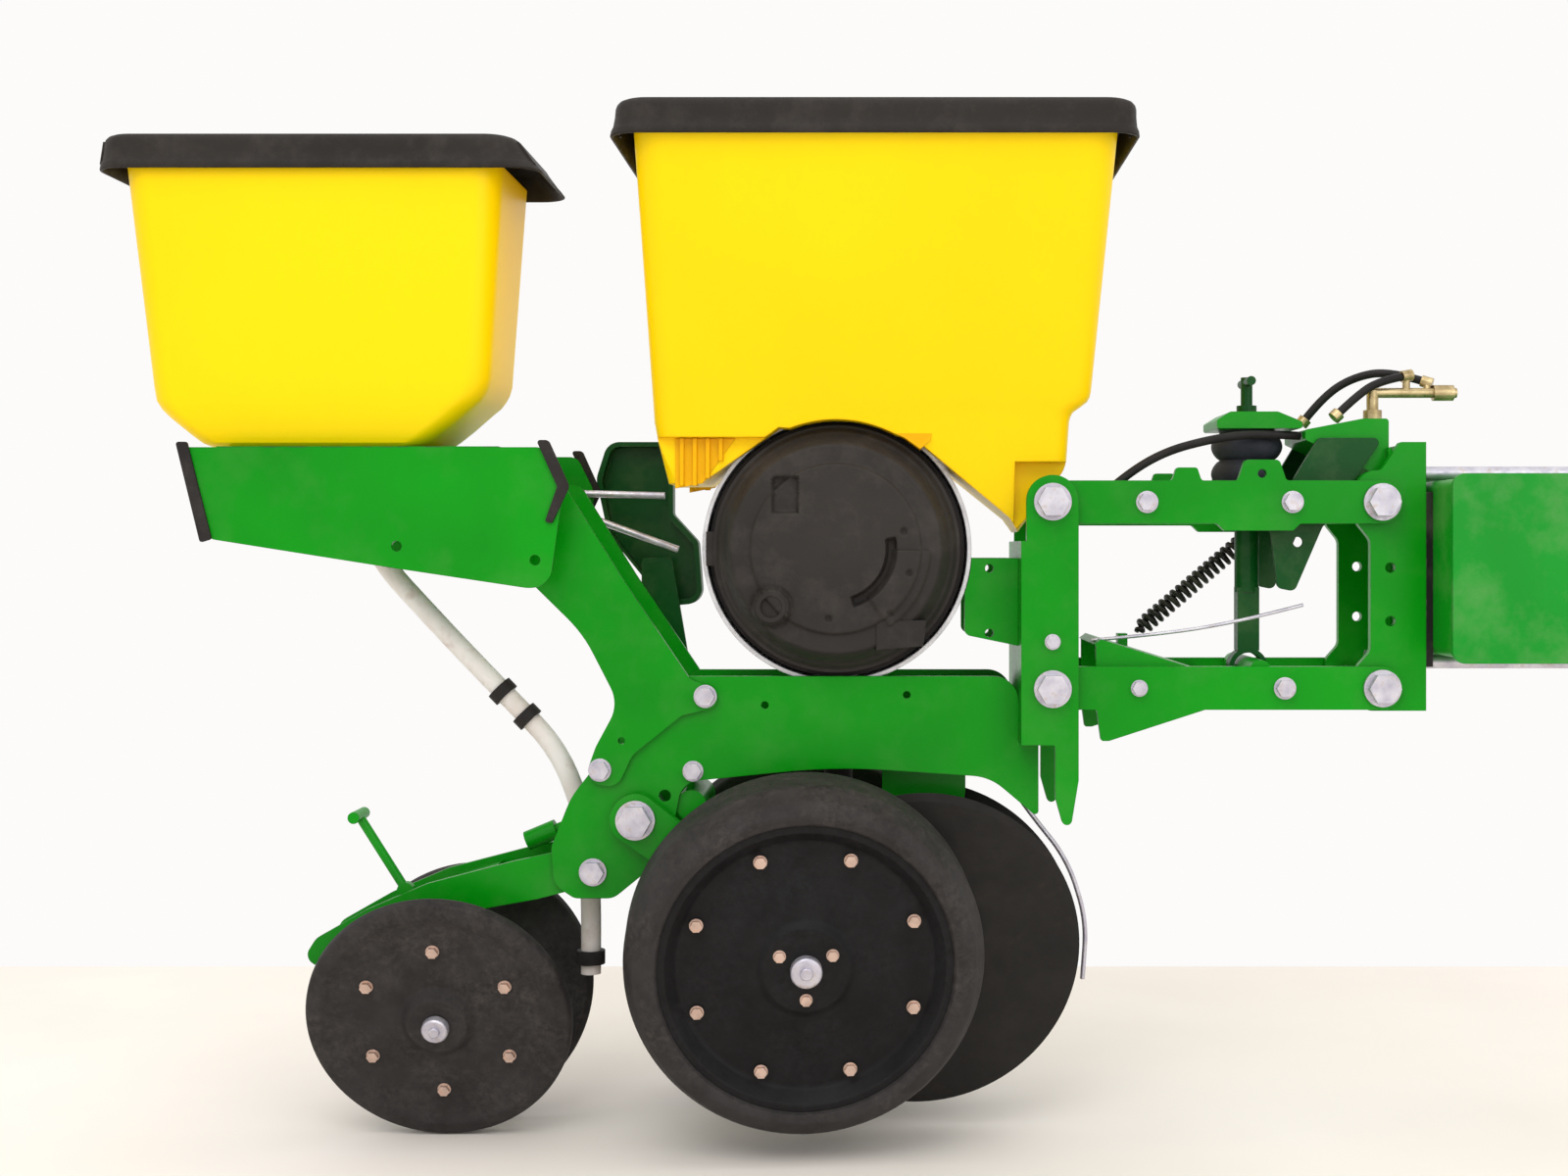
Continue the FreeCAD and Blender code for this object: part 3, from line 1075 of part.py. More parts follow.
def gauge_wheels():
    """Tyre, two-piece rim, bolts, and the arm that carries the wheel."""
    r, half, rim = s.gauge_dia / 2, s.gauge_wide / 2, s.rim_dia / 2
    tyre = [(rim + 0.0, -half + 8), (rim + 2, -half + 3, 3), (rim + 12, -half, 6), (r - 12, -half + 8, 14),
            (r, -half + 34, 22), (r, half - 16, 14), (r - 10, half - 2, 8), (r - 26, half, 4), (rim, half - 6)]
    pair("gauge_tyre", turned("gauge_tyre_body", tyre, GAUGE_PLACE))
    face = -half + 22
    dish = [(13, face - 14), (13, face + 52), (34, face + 52, 3), (36, face + 8, 4), (rim - 34, face + 8, 10),
            (rim - 14, half - 10, 8), (rim, half - 10), (rim, -half + 8), (rim - 8, -half + 8, 3),
            (rim - 22, face + 2, 8), (rim - 60, face, 20), (56, face - 8, 10), (48, face - 14, 3)]
    drill = []
    count = int(s.rim_bolts)
    bolts = []
    for i in range(count):
        angle = math.radians(360 / count * (i + 0.5))
        x, z = s.rim_circle / 2 * math.cos(angle), s.rim_circle / 2 * math.sin(angle)
        hole = rod("rim_hole_%d" % i, 9, (x, face - 20, z), (x, face + 30, z))
        drill.append(hole)
        bolts.append(screw("rim_bolt_%d" % i, Placement(Vector(x, face - 1.2, z), along((0, 1, 0))), 9, 8, 12, 1.2))
    for i in range(3):
        angle = math.radians(120 * i - 90)
        x, z = 34 * math.cos(angle), 34 * math.sin(angle)
        drill.append(rod("hub_hole_%d" % i, 7, (x, face - 20, z), (x, face + 12, z)))
        bolts.append(screw("hub_bolt_%d" % i, Placement(Vector(x, face - 14, z), along((0, 1, 0))), 7, 12, 11, 1.2))
    blank = turned("rim_blank", dish, Placement())
    wheel = trimmed("rim_body", blank, drill)
    wheel.Placement = GAUGE_PLACE
    pair("gauge_rim", wheel)
    studs = set_of("rim_bolt_set", bolts)
    studs.Placement = GAUGE_PLACE
    pair("gauge_wheel_bolts", studs)
    px, pz = GAUGE_PIVOT
    y_in, y_out = -s.frame_half - 3, -s.frame_half - 17
    hub = Vector(GAUGE_CENTRE[0], -s.gauge_out, GAUGE_CENTRE[1])
    inner = hub - OPENER_OUT * (face + 52.5)
    dx, dz = GAUGE_CENTRE[0] - px, GAUGE_CENTRE[1] - pz
    long = math.hypot(dx, dz)
    ux, uz = dx / long, dz / long
    wide, slim = 30, 22
    corners = [(px - ux * 30 - uz * wide, pz - uz * 30 + ux * wide, 28),
               (px - ux * 30 + uz * wide, pz - uz * 30 - ux * wide, 28),
               (px + ux * (long + 18) + uz * slim, pz + uz * (long + 18) - ux * slim, 18),
               (px + ux * (long + 18) - uz * slim, pz + uz * (long + 18) + ux * slim, 18)]
    bar = plate("gauge_bar", corners, y_out, y_in - y_out, [(px, pz, "gauge_pin + 2 * fit")])
    stub = rod("gauge_stub", 26 - 2 * s.fit, tuple(inner), tuple(hub + OPENER_OUT * (-face + 14)))
    collar = rod("gauge_collar", 44, tuple(inner - OPENER_OUT * 41), tuple(inner))
    cap = hexagon("gauge_cap", 30, 10, tuple(hub + OPENER_OUT * (-face + 14.5)), tuple(OPENER_OUT))
    neck = rod("gauge_neck", 20, tuple(inner), tuple(hub + OPENER_OUT * (-face + 20)))
    pair("gauge_arm", joined("gauge_arm_body", [bar, stub, collar, cap, neck]))


def closing_unit():
    """The tail casting with its pivot, two leaning wheels and the spring lever."""
    px, pz = CLOSE_PIVOT
    inner = s.frame_half - s.frame_plate - 1
    cheek = plate("tail_cheek", [row(-515, -228, 12), row(-520, -196, 20), row(-556, -190, 26), row(-630, -206, 60),
                                 row(-730, -232, 60), row(-800, -262, 60), row(-860, -296, 18), row(-874, -318, 12),
                                 row(-858, -330, 12), row(-800, -304, 50), row(-700, -268, 60), row(-600, -250, 40)],
                  -inner, 7, [(px, pz, "close_pin + 2 * fit")])
    far = mirrored("tail_cheek_left", cheek)
    deck = plate("tail_deck", [row(-662, -222), row(-662, -232), row(-800, -280, 40), row(-856, -318), row(-860, -306),
                               row(-800, -268, 40), row(-730, -242, 40)], -inner, 2 * inner)
    bridge = rod("tail_bridge", 30, row(-680, 0)[:1] + (-inner + 2, LOW_Z - 252), row(-680, 0)[:1] + (inner - 2, LOW_Z - 252))
    parts = [cheek, far, deck, bridge]
    hub = Vector(CLOSE_CENTRE[0], -s.close_out, CLOSE_CENTRE[1])
    for sign, side in ((1, "near"), (-1, "far")):
        way = Vector(CLOSE_OUT.x, CLOSE_OUT.y * sign, CLOSE_OUT.z)
        base = Vector(hub.x, hub.y * sign, hub.z)
        root_point = base - way * 34
        drop = Vector(row(-690, 0)[0], root_point.y, LOW_Z - 262)
        parts.append(rod("tail_axle_" + side, s.axle_dia, tuple(root_point), tuple(base + way * 20.5)))
        parts.append(rod("tail_boss_" + side, 30, tuple(root_point - way * 6), tuple(base - way * 19)))
        parts.append(rod("tail_leg_" + side, 26, tuple(root_point), tuple(drop)))
        parts.append(hexagon("tail_nut_" + side, 26, 9, tuple(base + way * 20.5), tuple(way)))
    slot = span("tail_slot", (row(-800, 0)[0], -7, LOW_Z - 330), (row(-738, 0)[0], 7, LOW_Z - 190))
    node("closing_frame", trimmed("tail_cut", joined("tail_whole", parts), [slot]))
    r, half = s.close_dia / 2, s.close_wide / 2
    bore = s.axle_dia / 2 + s.fit
    profile = [(bore, half + 4), (30, half + 4, 2), (32, 6, 4), (r - 46, 5, 8), (r - 26, half - 2, 6),
               (r - 6, half, 5), (r, 2, 8), (r - 2, -half + 3, 6), (r - 18, -half, 6), (r - 30, -half + 4, 5),
               (r - 52, -6, 10), (44, -7, 6), (34, -half - 6, 5), (bore, -half - 6)]
    drill, studs = [], []
    count = int(s.close_bolts)
    for i in range(count):
        angle = math.radians(360 / count * (i + 0.5))
        x, z = s.close_circle / 2 * math.cos(angle), s.close_circle / 2 * math.sin(angle)
        drill.append(rod("close_hole_%d" % i, 8, (x, -20, z), (x, 20, z)))
        studs.append(screw("close_bolt_%d" % i, Placement(Vector(x, -6.6, z), along((0, 1, 0))), 8, 14, 12, 1.4))
    blank = turned("close_blank", profile, Placement())
    wheel = trimmed("close_wheel", blank, drill)
    wheel.Placement = CLOSE_PLACE
    pair("closing_wheel", wheel)
    bolts = set_of("close_bolt_set", studs)
    bolts.Placement = CLOSE_PLACE
    pair("closing_wheel_bolts", bolts)
    foot = row(-769, -250)
    head = row(-826, -160)
    stick = rod("lever_stick", 11, (foot[0], 0, foot[1]), (head[0], 0, head[1]))
    cross = rod("lever_cross", 14, (head[0], -24, head[1]), (head[0], 24, head[1]))
    tab = rod("lever_tab", 20, (foot[0], -6, foot[1]), (foot[0], 6, foot[1]))
    node("closing_lever", joined("lever_whole", [stick, cross, tab]))


def depth_handle():
    """The planting depth handle behind the frame."""
    base = row(-520, -150)
    tip = row(-612, -188)
    hub = rod("depth_hub", 30, (base[0], 20, base[1]), (base[0], 34, base[1]))
    stick = rod("depth_stick", 12, (base[0], 27, base[1]), (tip[0], 27, tip[1]))
    grip = rod("depth_grip", 24, (tip[0] + 20, 27, tip[1] + 8), (tip[0] - 16, 27, tip[1] - 7))
    node("depth_handle", joined("depth_whole", [hub, stick, grip]))


def pivot_pins():
    """The bolts that gauge arms and closing frame turn on."""
    gx, gz = GAUGE_PIVOT
    out = s.frame_half + 17.5
    grip = out - s.frame_half + s.frame_plate
    pins = both_sides("gauge_pin_bolt", lambda n, p: bolt(n, p, grip, s.gauge_pin, 34, 6, 5),
                      [inward(gx, -out, gz)])
    cx, cz = CLOSE_PIVOT
    tail = s.frame_half
    grip = s.frame_plate + 9
    pins += both_sides("close_pin_bolt", lambda n, p: bolt(n, p, grip, s.close_pin, 24, 3, 3),
                       [inward(cx, -tail, cz)])
    return pins


toolbar()
mount_pad()
u_bolts()
head_bracket()
upper_arm()
lower_arm()
air_spring()
air_lines()
mast()
frame()
meter_bracket()
hopper_support()
seed_hopper()
small_hopper()
lids()
meter()
drive()
tubes()
opener_discs()
disc_spindles()
gauge_wheels()
closing_unit()
depth_handle()
doc.recompute()

problems = []
for obj in doc.Objects:
    if "Invalid" in obj.State or "Error" in obj.State:
        problems.append(obj.Name + " " + str(obj.State))
for sweep, path, ring in sweeps:
    full = math.pi * ring.Radius.Value ** 2 * path.Shape.Length
    print(sweep.Name, "volume over section x length", round(sweep.Shape.Volume / full, 4))
os.makedirs("parts", exist_ok=True)
for obj in NODES:
    shape = obj.Shape
    if shape.isNull() or not shape.isValid() or not shape.Solids:
        problems.append(obj.Label + " has no valid solid")
        continue
    shape.exportStep("parts/" + obj.Label + ".step")
print(len(NODES), "nodes written")
if problems:
    raise SystemExit("\n".join(problems))
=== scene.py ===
import math

import bmesh
import bpy
from mathutils import Matrix, Vector


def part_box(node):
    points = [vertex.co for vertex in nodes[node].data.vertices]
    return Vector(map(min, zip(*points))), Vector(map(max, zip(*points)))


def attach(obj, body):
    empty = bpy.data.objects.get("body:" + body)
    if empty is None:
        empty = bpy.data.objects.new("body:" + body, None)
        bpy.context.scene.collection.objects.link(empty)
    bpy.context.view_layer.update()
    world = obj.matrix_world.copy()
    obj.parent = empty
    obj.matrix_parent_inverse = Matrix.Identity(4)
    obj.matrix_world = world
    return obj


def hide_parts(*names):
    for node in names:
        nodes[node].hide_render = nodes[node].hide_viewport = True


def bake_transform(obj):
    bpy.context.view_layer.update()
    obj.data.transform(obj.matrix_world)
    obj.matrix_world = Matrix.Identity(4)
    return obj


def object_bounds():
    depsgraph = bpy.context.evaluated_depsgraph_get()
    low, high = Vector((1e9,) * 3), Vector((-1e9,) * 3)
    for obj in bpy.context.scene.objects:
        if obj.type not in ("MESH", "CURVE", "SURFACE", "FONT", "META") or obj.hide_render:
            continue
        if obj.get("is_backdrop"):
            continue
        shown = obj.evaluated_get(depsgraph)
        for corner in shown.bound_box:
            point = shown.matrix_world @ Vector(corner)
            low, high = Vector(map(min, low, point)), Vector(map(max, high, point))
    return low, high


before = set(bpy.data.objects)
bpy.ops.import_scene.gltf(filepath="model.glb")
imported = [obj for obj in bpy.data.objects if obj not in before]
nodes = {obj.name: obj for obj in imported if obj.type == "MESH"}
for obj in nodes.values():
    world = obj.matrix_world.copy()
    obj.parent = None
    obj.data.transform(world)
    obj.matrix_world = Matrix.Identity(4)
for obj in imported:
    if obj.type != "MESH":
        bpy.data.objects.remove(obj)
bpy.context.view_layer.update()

# Places taken from the CAD, in metres.
REAR_X, LOW_Z = -0.545, -0.139
METER = Vector((-0.794, 0.0, 0.022))
GAUGE_WHEEL = {"x": -0.829, "z": -0.438, "out": 0.138, "toe": 4.7, "lean": 8}
CLOSING_WHEEL = {"x": -1.255, "z": -0.523, "out": 0.080, "toe": 0, "lean": 19}

# The hoppers, in millimetres above the lower rear pivot and across the row.
SEED_BOTTOM, SEED_RIM = 181, 624
SMALL_BOTTOM, SMALL_RIM = 278, 606
HOPPER_WALL = 5
FAR_OUT = 0.30
HOUSING_ARCH, COVER_ARCH, ARCH_STEP = 0.1625, 0.1490, 0.0615
FRONT_LEG_HALF, REAR_LEG_HALF = 0.061, 0.082
FRONT_LEG_TOP, REAR_LEG_TOP = 262, 290


def row(back, up):
    return REAR_X + back / 1000, LOW_Z + up / 1000


# ---------------------------------------------------------------- materials

class Tree:
    """A small helper that adds nodes to one material and wires them."""

    def __init__(self, name):
        self.material = bpy.data.materials.new(name)
        self.material.use_nodes = True
        self.tree = self.material.node_tree
        self.shader = self.tree.nodes["Principled BSDF"]
        self.coords = self.add("ShaderNodeTexCoord").outputs["Object"]

    def add(self, kind, **values):
        item = self.tree.nodes.new(kind)
        for key, value in values.items():
            setattr(item, key, value)
        return item

    def link(self, a, b):
        self.tree.links.new(a, b)

    def noise(self, scale, detail=4.0, rough=0.55, stretch=None):
        tex = self.add("ShaderNodeTexNoise")
        tex.inputs["Scale"].default_value = scale
        tex.inputs["Detail"].default_value = detail
        tex.inputs["Roughness"].default_value = rough
        if stretch is None:
            self.link(self.coords, tex.inputs["Vector"])
        else:
            place = self.add("ShaderNodeMapping")
            place.inputs["Scale"].default_value = stretch
            self.link(self.coords, place.inputs["Vector"])
            self.link(place.outputs["Vector"], tex.inputs["Vector"])
        return tex.outputs["Fac"]

    def grains(self, scale, feature="F1"):
        tex = self.add("ShaderNodeTexVoronoi", feature=feature)
        tex.inputs["Scale"].default_value = scale
        self.link(self.coords, tex.inputs["Vector"])
        return tex.outputs["Distance"]

    def ramp(self, source, stops):
        item = self.add("ShaderNodeValToRGB")
        bar = item.color_ramp
        while len(bar.elements) < len(stops):
            bar.elements.new(0.5)
        for element, (place, colour) in zip(bar.elements, stops):
            element.position = place
            if isinstance(colour, (int, float)):
                colour = (colour, colour, colour)
            element.color = (*colour, 1)
        self.link(source, item.inputs["Fac"])
        return item.outputs["Color"]

    def spread(self, source, low, high, to_low, to_high):
        item = self.add("ShaderNodeMapRange")
        for key, value in (("From Min", low), ("From Max", high), ("To Min", to_low), ("To Max", to_high)):
            item.inputs[key].default_value = value
        self.link(source, item.inputs["Value"])
        return item.outputs["Result"]

    def math(self, kind, a, b):
        item = self.add("ShaderNodeMath", operation=kind)
        item.use_clamp = True
        for socket, value in zip(item.inputs, (a, b)):
            if isinstance(value, (int, float)):
                socket.default_value = value
            else:
                self.link(value, socket)
        return item.outputs["Value"]

    def mix(self, share, a, b, kind="MIX"):
        item = self.add("ShaderNodeMix", data_type="RGBA", blend_type=kind)
        for socket, value in ((item.inputs[0], share), (item.inputs[6], a), (item.inputs[7], b)):
            if isinstance(value, (int, float)):
                socket.default_value = value
            elif isinstance(value, tuple):
                socket.default_value = (*value, 1)
            else:
                self.link(value, socket)
        return item.outputs[2]

    def edges(self, radius, low=0.02, high=0.25):
        """Share of 1 on convex and concave edges within the radius, from rounded normals."""
        soft = self.add("ShaderNodeBevel", samples=6)
        soft.inputs["Radius"].default_value = radius
        flat = self.add("ShaderNodeNewGeometry")
        dot = self.add("ShaderNodeVectorMath", operation="DOT_PRODUCT")
        self.link(soft.outputs["Normal"], dot.inputs[0])
        self.link(flat.outputs["Normal"], dot.inputs[1])
        return self.spread(dot.outputs["Value"], 1 - low, 1 - high, 0, 1)

    def bump(self, source, strength, distance, rounded=None):
        item = self.add("ShaderNodeBump")
        item.inputs["Strength"].default_value = strength
        item.inputs["Distance"].default_value = distance
        self.link(source, item.inputs["Height"])
        if rounded:
            soft = self.add("ShaderNodeBevel", samples=4)
            soft.inputs["Radius"].default_value = rounded
            self.link(soft.outputs["Normal"], item.inputs["Normal"])
        self.link(item.outputs["Normal"], self.shader.inputs["Normal"])

    def finish(self, colour, rough, metal=0.0, **values):
        if not metal:
            values.setdefault("Specular_IOR_Level", 0.09)
        for key, value in (("Base Color", colour), ("Roughness", rough), ("Metallic", metal)):
            socket = self.shader.inputs[key]
            if isinstance(value, tuple):
                socket.default_value = (*value, 1)
            elif isinstance(value, (int, float)):
                socket.default_value = value
            else:
                self.link(value, socket)
        for key, value in values.items():
            socket = self.shader.inputs[key.replace("_", " ")]
            socket.default_value = value
        return self.material


def painted(name, base, deep, worn, dust=0.25, rough=0.36, orange=1.0, rounded=0.0015):
    """Sprayed machine enamel: faint orange peel, colour drift, chips and dust on the edges."""
    t = Tree(name)
    drift = t.ramp(t.noise(3.1, 3), [(0.3, deep), (0.62, base)])
    streak = t.noise(9, 5, 0.6, (1, 1, 0.25))
    colour = t.mix(t.spread(streak, 0.48, 0.75, 0, 0.30), drift, deep)
    speck = t.noise(240, 3)
    chips = t.math("MULTIPLY", t.edges(0.0022), t.spread(t.noise(70, 5), 0.50, 0.60, 0, 1))
    colour = t.mix(t.math("MULTIPLY", chips, 0.75), colour, worn)
    dusty = t.math("MULTIPLY", t.spread(t.noise(14, 6, 0.65), 0.47, 0.70, 0, dust), 1.0)
    colour = t.mix(dusty, colour, (0.30, 0.36, 0.20))
    shine = t.math("ADD", t.spread(speck, 0.3, 0.7, rough - 0.05, rough + 0.07),
                   t.math("MULTIPLY", dusty, 0.6))
    t.bump(t.math("ADD", t.noise(190, 2), t.math("MULTIPLY", chips, -0.4)), 0.16 * orange, 0.0006, rounded)
    return t.finish(colour, shine, 0.0, Coat_Weight=0.18, Coat_Roughness=0.22)


def plated(name, base, dark, metal=0.85, rough=0.38, tint=(0.33, 0.22, 0.12)):
    """Zinc or brass: blotched plating and a little dirt in random patches."""
    t = Tree(name)
    colour = t.ramp(t.noise(60, 5), [(0.32, dark), (0.66, base)])
    stain = t.spread(t.noise(120, 4), 0.55, 0.72, 0, 0.45)
    colour = t.mix(stain, colour, tint)
    shine = t.spread(t.noise(150, 3), 0.3, 0.7, rough - 0.08, rough + 0.14)
    t.bump(t.noise(420, 3), 0.12, 0.0005, 0.0008)
    return t.finish(colour, shine, metal)


def moulded(name, base, deep, rough=0.36, grain=0.35, soft=0.12):
    """Rotationally moulded or pressed plastic: a fine grain and slow waves in the wall."""
    t = Tree(name)
    colour = t.ramp(t.noise(2.2, 3), [(0.30, deep), (0.60, base)])
    scuff = t.spread(t.noise(26, 7, 0.7, (1, 1, 0.35)), 0.56, 0.74, 0, soft)
    colour = t.mix(scuff, colour, tuple(min(1, c * 1.25 + 0.03) for c in base))
    shine = t.math("ADD", t.spread(t.noise(90, 4), 0.3, 0.7, rough - 0.06, rough + 0.08), scuff)
    fine = t.grains(900)
    slow = t.noise(7, 2)
    t.bump(t.math("ADD", t.math("MULTIPLY", fine, 0.5), t.math("MULTIPLY", slow, 0.9)),
           grain, 0.0012, 0.002)
    return t


def rubber(name, base, dust, share=0.5, rough=0.62):
    """Worn tyre rubber: matt, with soil dust in its pores and pale rubbed patches."""
    t = Tree(name)
    blot = t.noise(11, 8, 0.72)
    pores = t.noise(130, 6, 0.7)
    soil = t.math("MULTIPLY", t.spread(blot, 0.42, 0.66, 0.08, 1), t.spread(pores, 0.40, 0.66, 0, share))
    colour = t.mix(soil, t.ramp(t.noise(26, 4), [(0.3, base), (0.7, tuple(c * 1.7 for c in base))]), dust)
    shine = t.math("ADD", t.spread(pores, 0.3, 0.7, rough - 0.10, rough + 0.08),
                   t.math("MULTIPLY", soil, 0.5))
    t.bump(t.math("ADD", pores, t.noise(520, 3)), 0.30, 0.0009, 0.0012)
    return t.finish(colour, shine, 0.0, Specular_IOR_Level=0.12)


def yellow_body(name, deep=(0.975, 0.620, 0.0006), base=(0.990, 0.680, 0.001)):
    t = moulded(name, (0.985, 0.735, 0.0015), (0.955, 0.655, 0.0012), 0.33, 0.16, 0.04)
    drift = t.ramp(t.noise(2.0, 3), [(0.30, deep), (0.62, base)])
    worn = t.spread(t.noise(30, 7, 0.7, (1, 1, 0.3)), 0.60, 0.78, 0, 0.10)
    colour = t.mix(worn, drift, (0.93, 0.60, 0.01))
    # painted shade: convex and concave edges within 10 mm turn darker orange, standing in for the shading on
    # rounded corners and in creases
    painted_shade_edge = t.edges(0.010, 0.01, 0.30)
    colour = t.mix(t.math("MULTIPLY", painted_shade_edge, 0.55), colour, (0.93, 0.46, 0.0))
    return t.finish(colour, 0.34, 0.0, Subsurface_Weight=0.12, Subsurface_Radius=(0.02, 0.008, 0.001),
                    Subsurface_Scale=0.6, Coat_Weight=0.08, Coat_Roughness=0.3)


def black_body(name, base=(0.030, 0.027, 0.026), deep=(0.020, 0.018, 0.018), rough=0.50, grain=0.45):
    t = moulded(name, base, deep, rough, grain, 0.16)
    colour = t.ramp(t.noise(6, 4), [(0.3, deep), (0.68, base)])
    dust = t.spread(t.noise(20, 8, 0.7), 0.50, 0.74, 0, 0.22)
    colour = t.mix(dust, colour, (0.12, 0.105, 0.095))
    shine = t.math("ADD", t.spread(t.noise(120, 4), 0.3, 0.7, rough - 0.08, rough + 0.08), dust)
    return t.finish(colour, shine, 0.0)


GREEN = painted("green_enamel", (0.0004, 0.290, 0.0035), (0.0003, 0.205, 0.0028), (0.040, 0.09, 0.035),
                0.05, 0.36)
DARK_GREEN = painted("dark_green_enamel", (0.0020, 0.085, 0.010), (0.0012, 0.045, 0.006), (0.10, 0.11, 0.09),
                     0.10, 0.45)
BAR_GREEN = painted("toolbar_enamel", (0.003, 0.270, 0.010), (0.002, 0.200, 0.007), (0.06, 0.12, 0.05),
                    0.18, 0.44, 1.6)
CAP_GREEN = painted("cap_enamel", (0.005, 0.270, 0.018), (0.003, 0.195, 0.012), (0.08, 0.16, 0.08),
                    0.20, 0.42, 1.6)
ZINC = plated("zinc_plating", (0.66, 0.64, 0.70), (0.44, 0.42, 0.50), 0.78, 0.40)
ROSE_ZINC = plated("yellow_chromate", (0.68, 0.50, 0.42), (0.45, 0.32, 0.26), 0.70, 0.40,
                   (0.55, 0.28, 0.16))
BRASS = plated("aged_brass", (0.62, 0.50, 0.28), (0.30, 0.22, 0.10), 0.85, 0.34)
TYRE = rubber("tyre_rubber", (0.021, 0.019, 0.019), (0.105, 0.092, 0.084), 0.50, 0.60)
RIM = rubber("rim_plastic", (0.0065, 0.0062, 0.0066), (0.060, 0.064, 0.070), 0.16, 0.46)
HOSE = rubber("hose_rubber", (0.013, 0.012, 0.012), (0.06, 0.05, 0.05), 0.18, 0.42)
BELLOWS = rubber("bellows_rubber", (0.022, 0.024, 0.032), (0.07, 0.07, 0.08), 0.3, 0.55)
YELLOW = yellow_body("yellow_polyethylene")
# painted shade: a darker orange copy of the yellow body, standing in for the shading in the recesses beside
# the meter
RECESS_SHADE_YELLOW = yellow_body("painted_shade_recess", (0.72, 0.36, 0.001), (0.86, 0.47, 0.001))
BLACK = black_body("black_plastic")
LID = black_body("lid_plastic", (0.030, 0.026, 0.023), (0.022, 0.019, 0.017), 0.46, 0.5)
COVER = black_body("cover_plastic", (0.036, 0.032, 0.0295), (0.026, 0.023, 0.0215), 0.40, 0.28)
BLACK_STEEL = painted("black_enamel", (0.016, 0.014, 0.014), (0.008, 0.007, 0.007), (0.16, 0.14, 0.12),
                      0.12, 0.42)


def disc_steel():
    """Dark rolled steel with a little rust."""
    t = Tree("disc_steel")
    colour = t.ramp(t.noise(18, 6), [(0.3, (0.0060, 0.0052, 0.0048)), (0.7, (0.0130, 0.0112, 0.0100))])
    rust = t.spread(t.noise(42, 7, 0.7), 0.58, 0.72, 0, 0.5)
    colour = t.mix(rust, colour, (0.030, 0.016, 0.010))
    shine = t.spread(t.noise(60, 5), 0.3, 0.7, 0.36, 0.56)
    t.bump(t.noise(260, 4), 0.2, 0.0006, 0.0006)
    return t.finish(colour, shine, 0.0, Specular_IOR_Level=0.25)


def cast_aluminium():
    t = Tree("cast_aluminium")
    colour = t.ramp(t.noise(30, 5), [(0.3, (0.50, 0.50, 0.52)), (0.7, (0.74, 0.74, 0.76))])
    dirt = t.spread(t.noise(16, 7, 0.7), 0.52, 0.70, 0, 0.35)
    colour = t.mix(dirt, colour, (0.30, 0.26, 0.24))
    shine = t.spread(t.noise(130, 4), 0.3, 0.7, 0.34, 0.56)
    t.bump(t.grains(520), 0.35, 0.0008, 0.002)
    return t.finish(colour, shine, 0.75)


def tube_plastic():
    """Milky polyethylene tube with rust-brown seed dust inside."""
    t = Tree("tube_plastic")
    colour = t.ramp(t.noise(9, 5, 0.6, (1, 1, 0.4)), [(0.3, (0.66, 0.58, 0.53)), (0.6, (0.84, 0.82, 0.79))])
    stain = t.spread(t.noise(36, 6), 0.55, 0.72, 0, 0.5)
    colour = t.mix(stain, colour, (0.45, 0.31, 0.26))
    shine = t.spread(t.noise(80, 3), 0.3, 0.7, 0.25, 0.42)
    t.bump(t.noise(200, 3), 0.15, 0.0006, 0.0006)
    return t.finish(colour, shine, 0.0, Subsurface_Weight=0.3, Subsurface_Radius=(0.01, 0.009, 0.008),
                    Subsurface_Scale=0.5)


DISC = disc_steel()
CAST = cast_aluminium()
TUBE = tube_plastic()

PAINT_GROUPS = (
    (GREEN, "head_bracket downforce_housing air_spring_cap upper_arm lower_arm mast row_frame_plates "
            "meter_bracket hopper_support disc_spindles closing_frame closing_lever depth_handle"),
    (DARK_GREEN, "cap_t_handle strut_bracket air_strut drive_cover"),
    (BAR_GREEN, "toolbar_tube"),
    (CAP_GREEN, "toolbar_end_caps"),
    (ZINC, "u_bolts front_pivot_bolts upper_arm_bolts lower_arm_bolts rear_pivot_bolts frame_bolts "
           "drive_rods disc_scrapers drive_sprocket"),
    (BLACK_STEEL, "mount_pad"),
    (BLACK, "support_liners seed_tube tube_clips seed_disc"),
    (BRASS, "air_fittings"),
    (CAST, "meter_housing"),
    (COVER, "vacuum_dome"),
    (TUBE, "drop_tube"),
)
PAINT = {name: finish for finish, names in PAINT_GROUPS for name in names.split()}
for side in ("right", "left"):
    PAINT["gauge_arm_" + side] = GREEN
    PAINT["gauge_tyre_" + side] = TYRE
    PAINT["gauge_rim_" + side] = RIM
    PAINT["gauge_wheel_bolts_" + side] = ROSE_ZINC
    PAINT["opener_disc_" + side] = DISC
    PAINT["closing_wheel_" + side] = TYRE
    PAINT["closing_wheel_bolts_" + side] = ROSE_ZINC
for name, item in nodes.items():
    finish = PAINT.get(name, GREEN)
    if not item.material_slots:
        item.data.materials.append(finish)
    for place in item.material_slots:
        place.link = "OBJECT"
        place.material = finish


# ---------------------------------------------------------------- mesh helpers

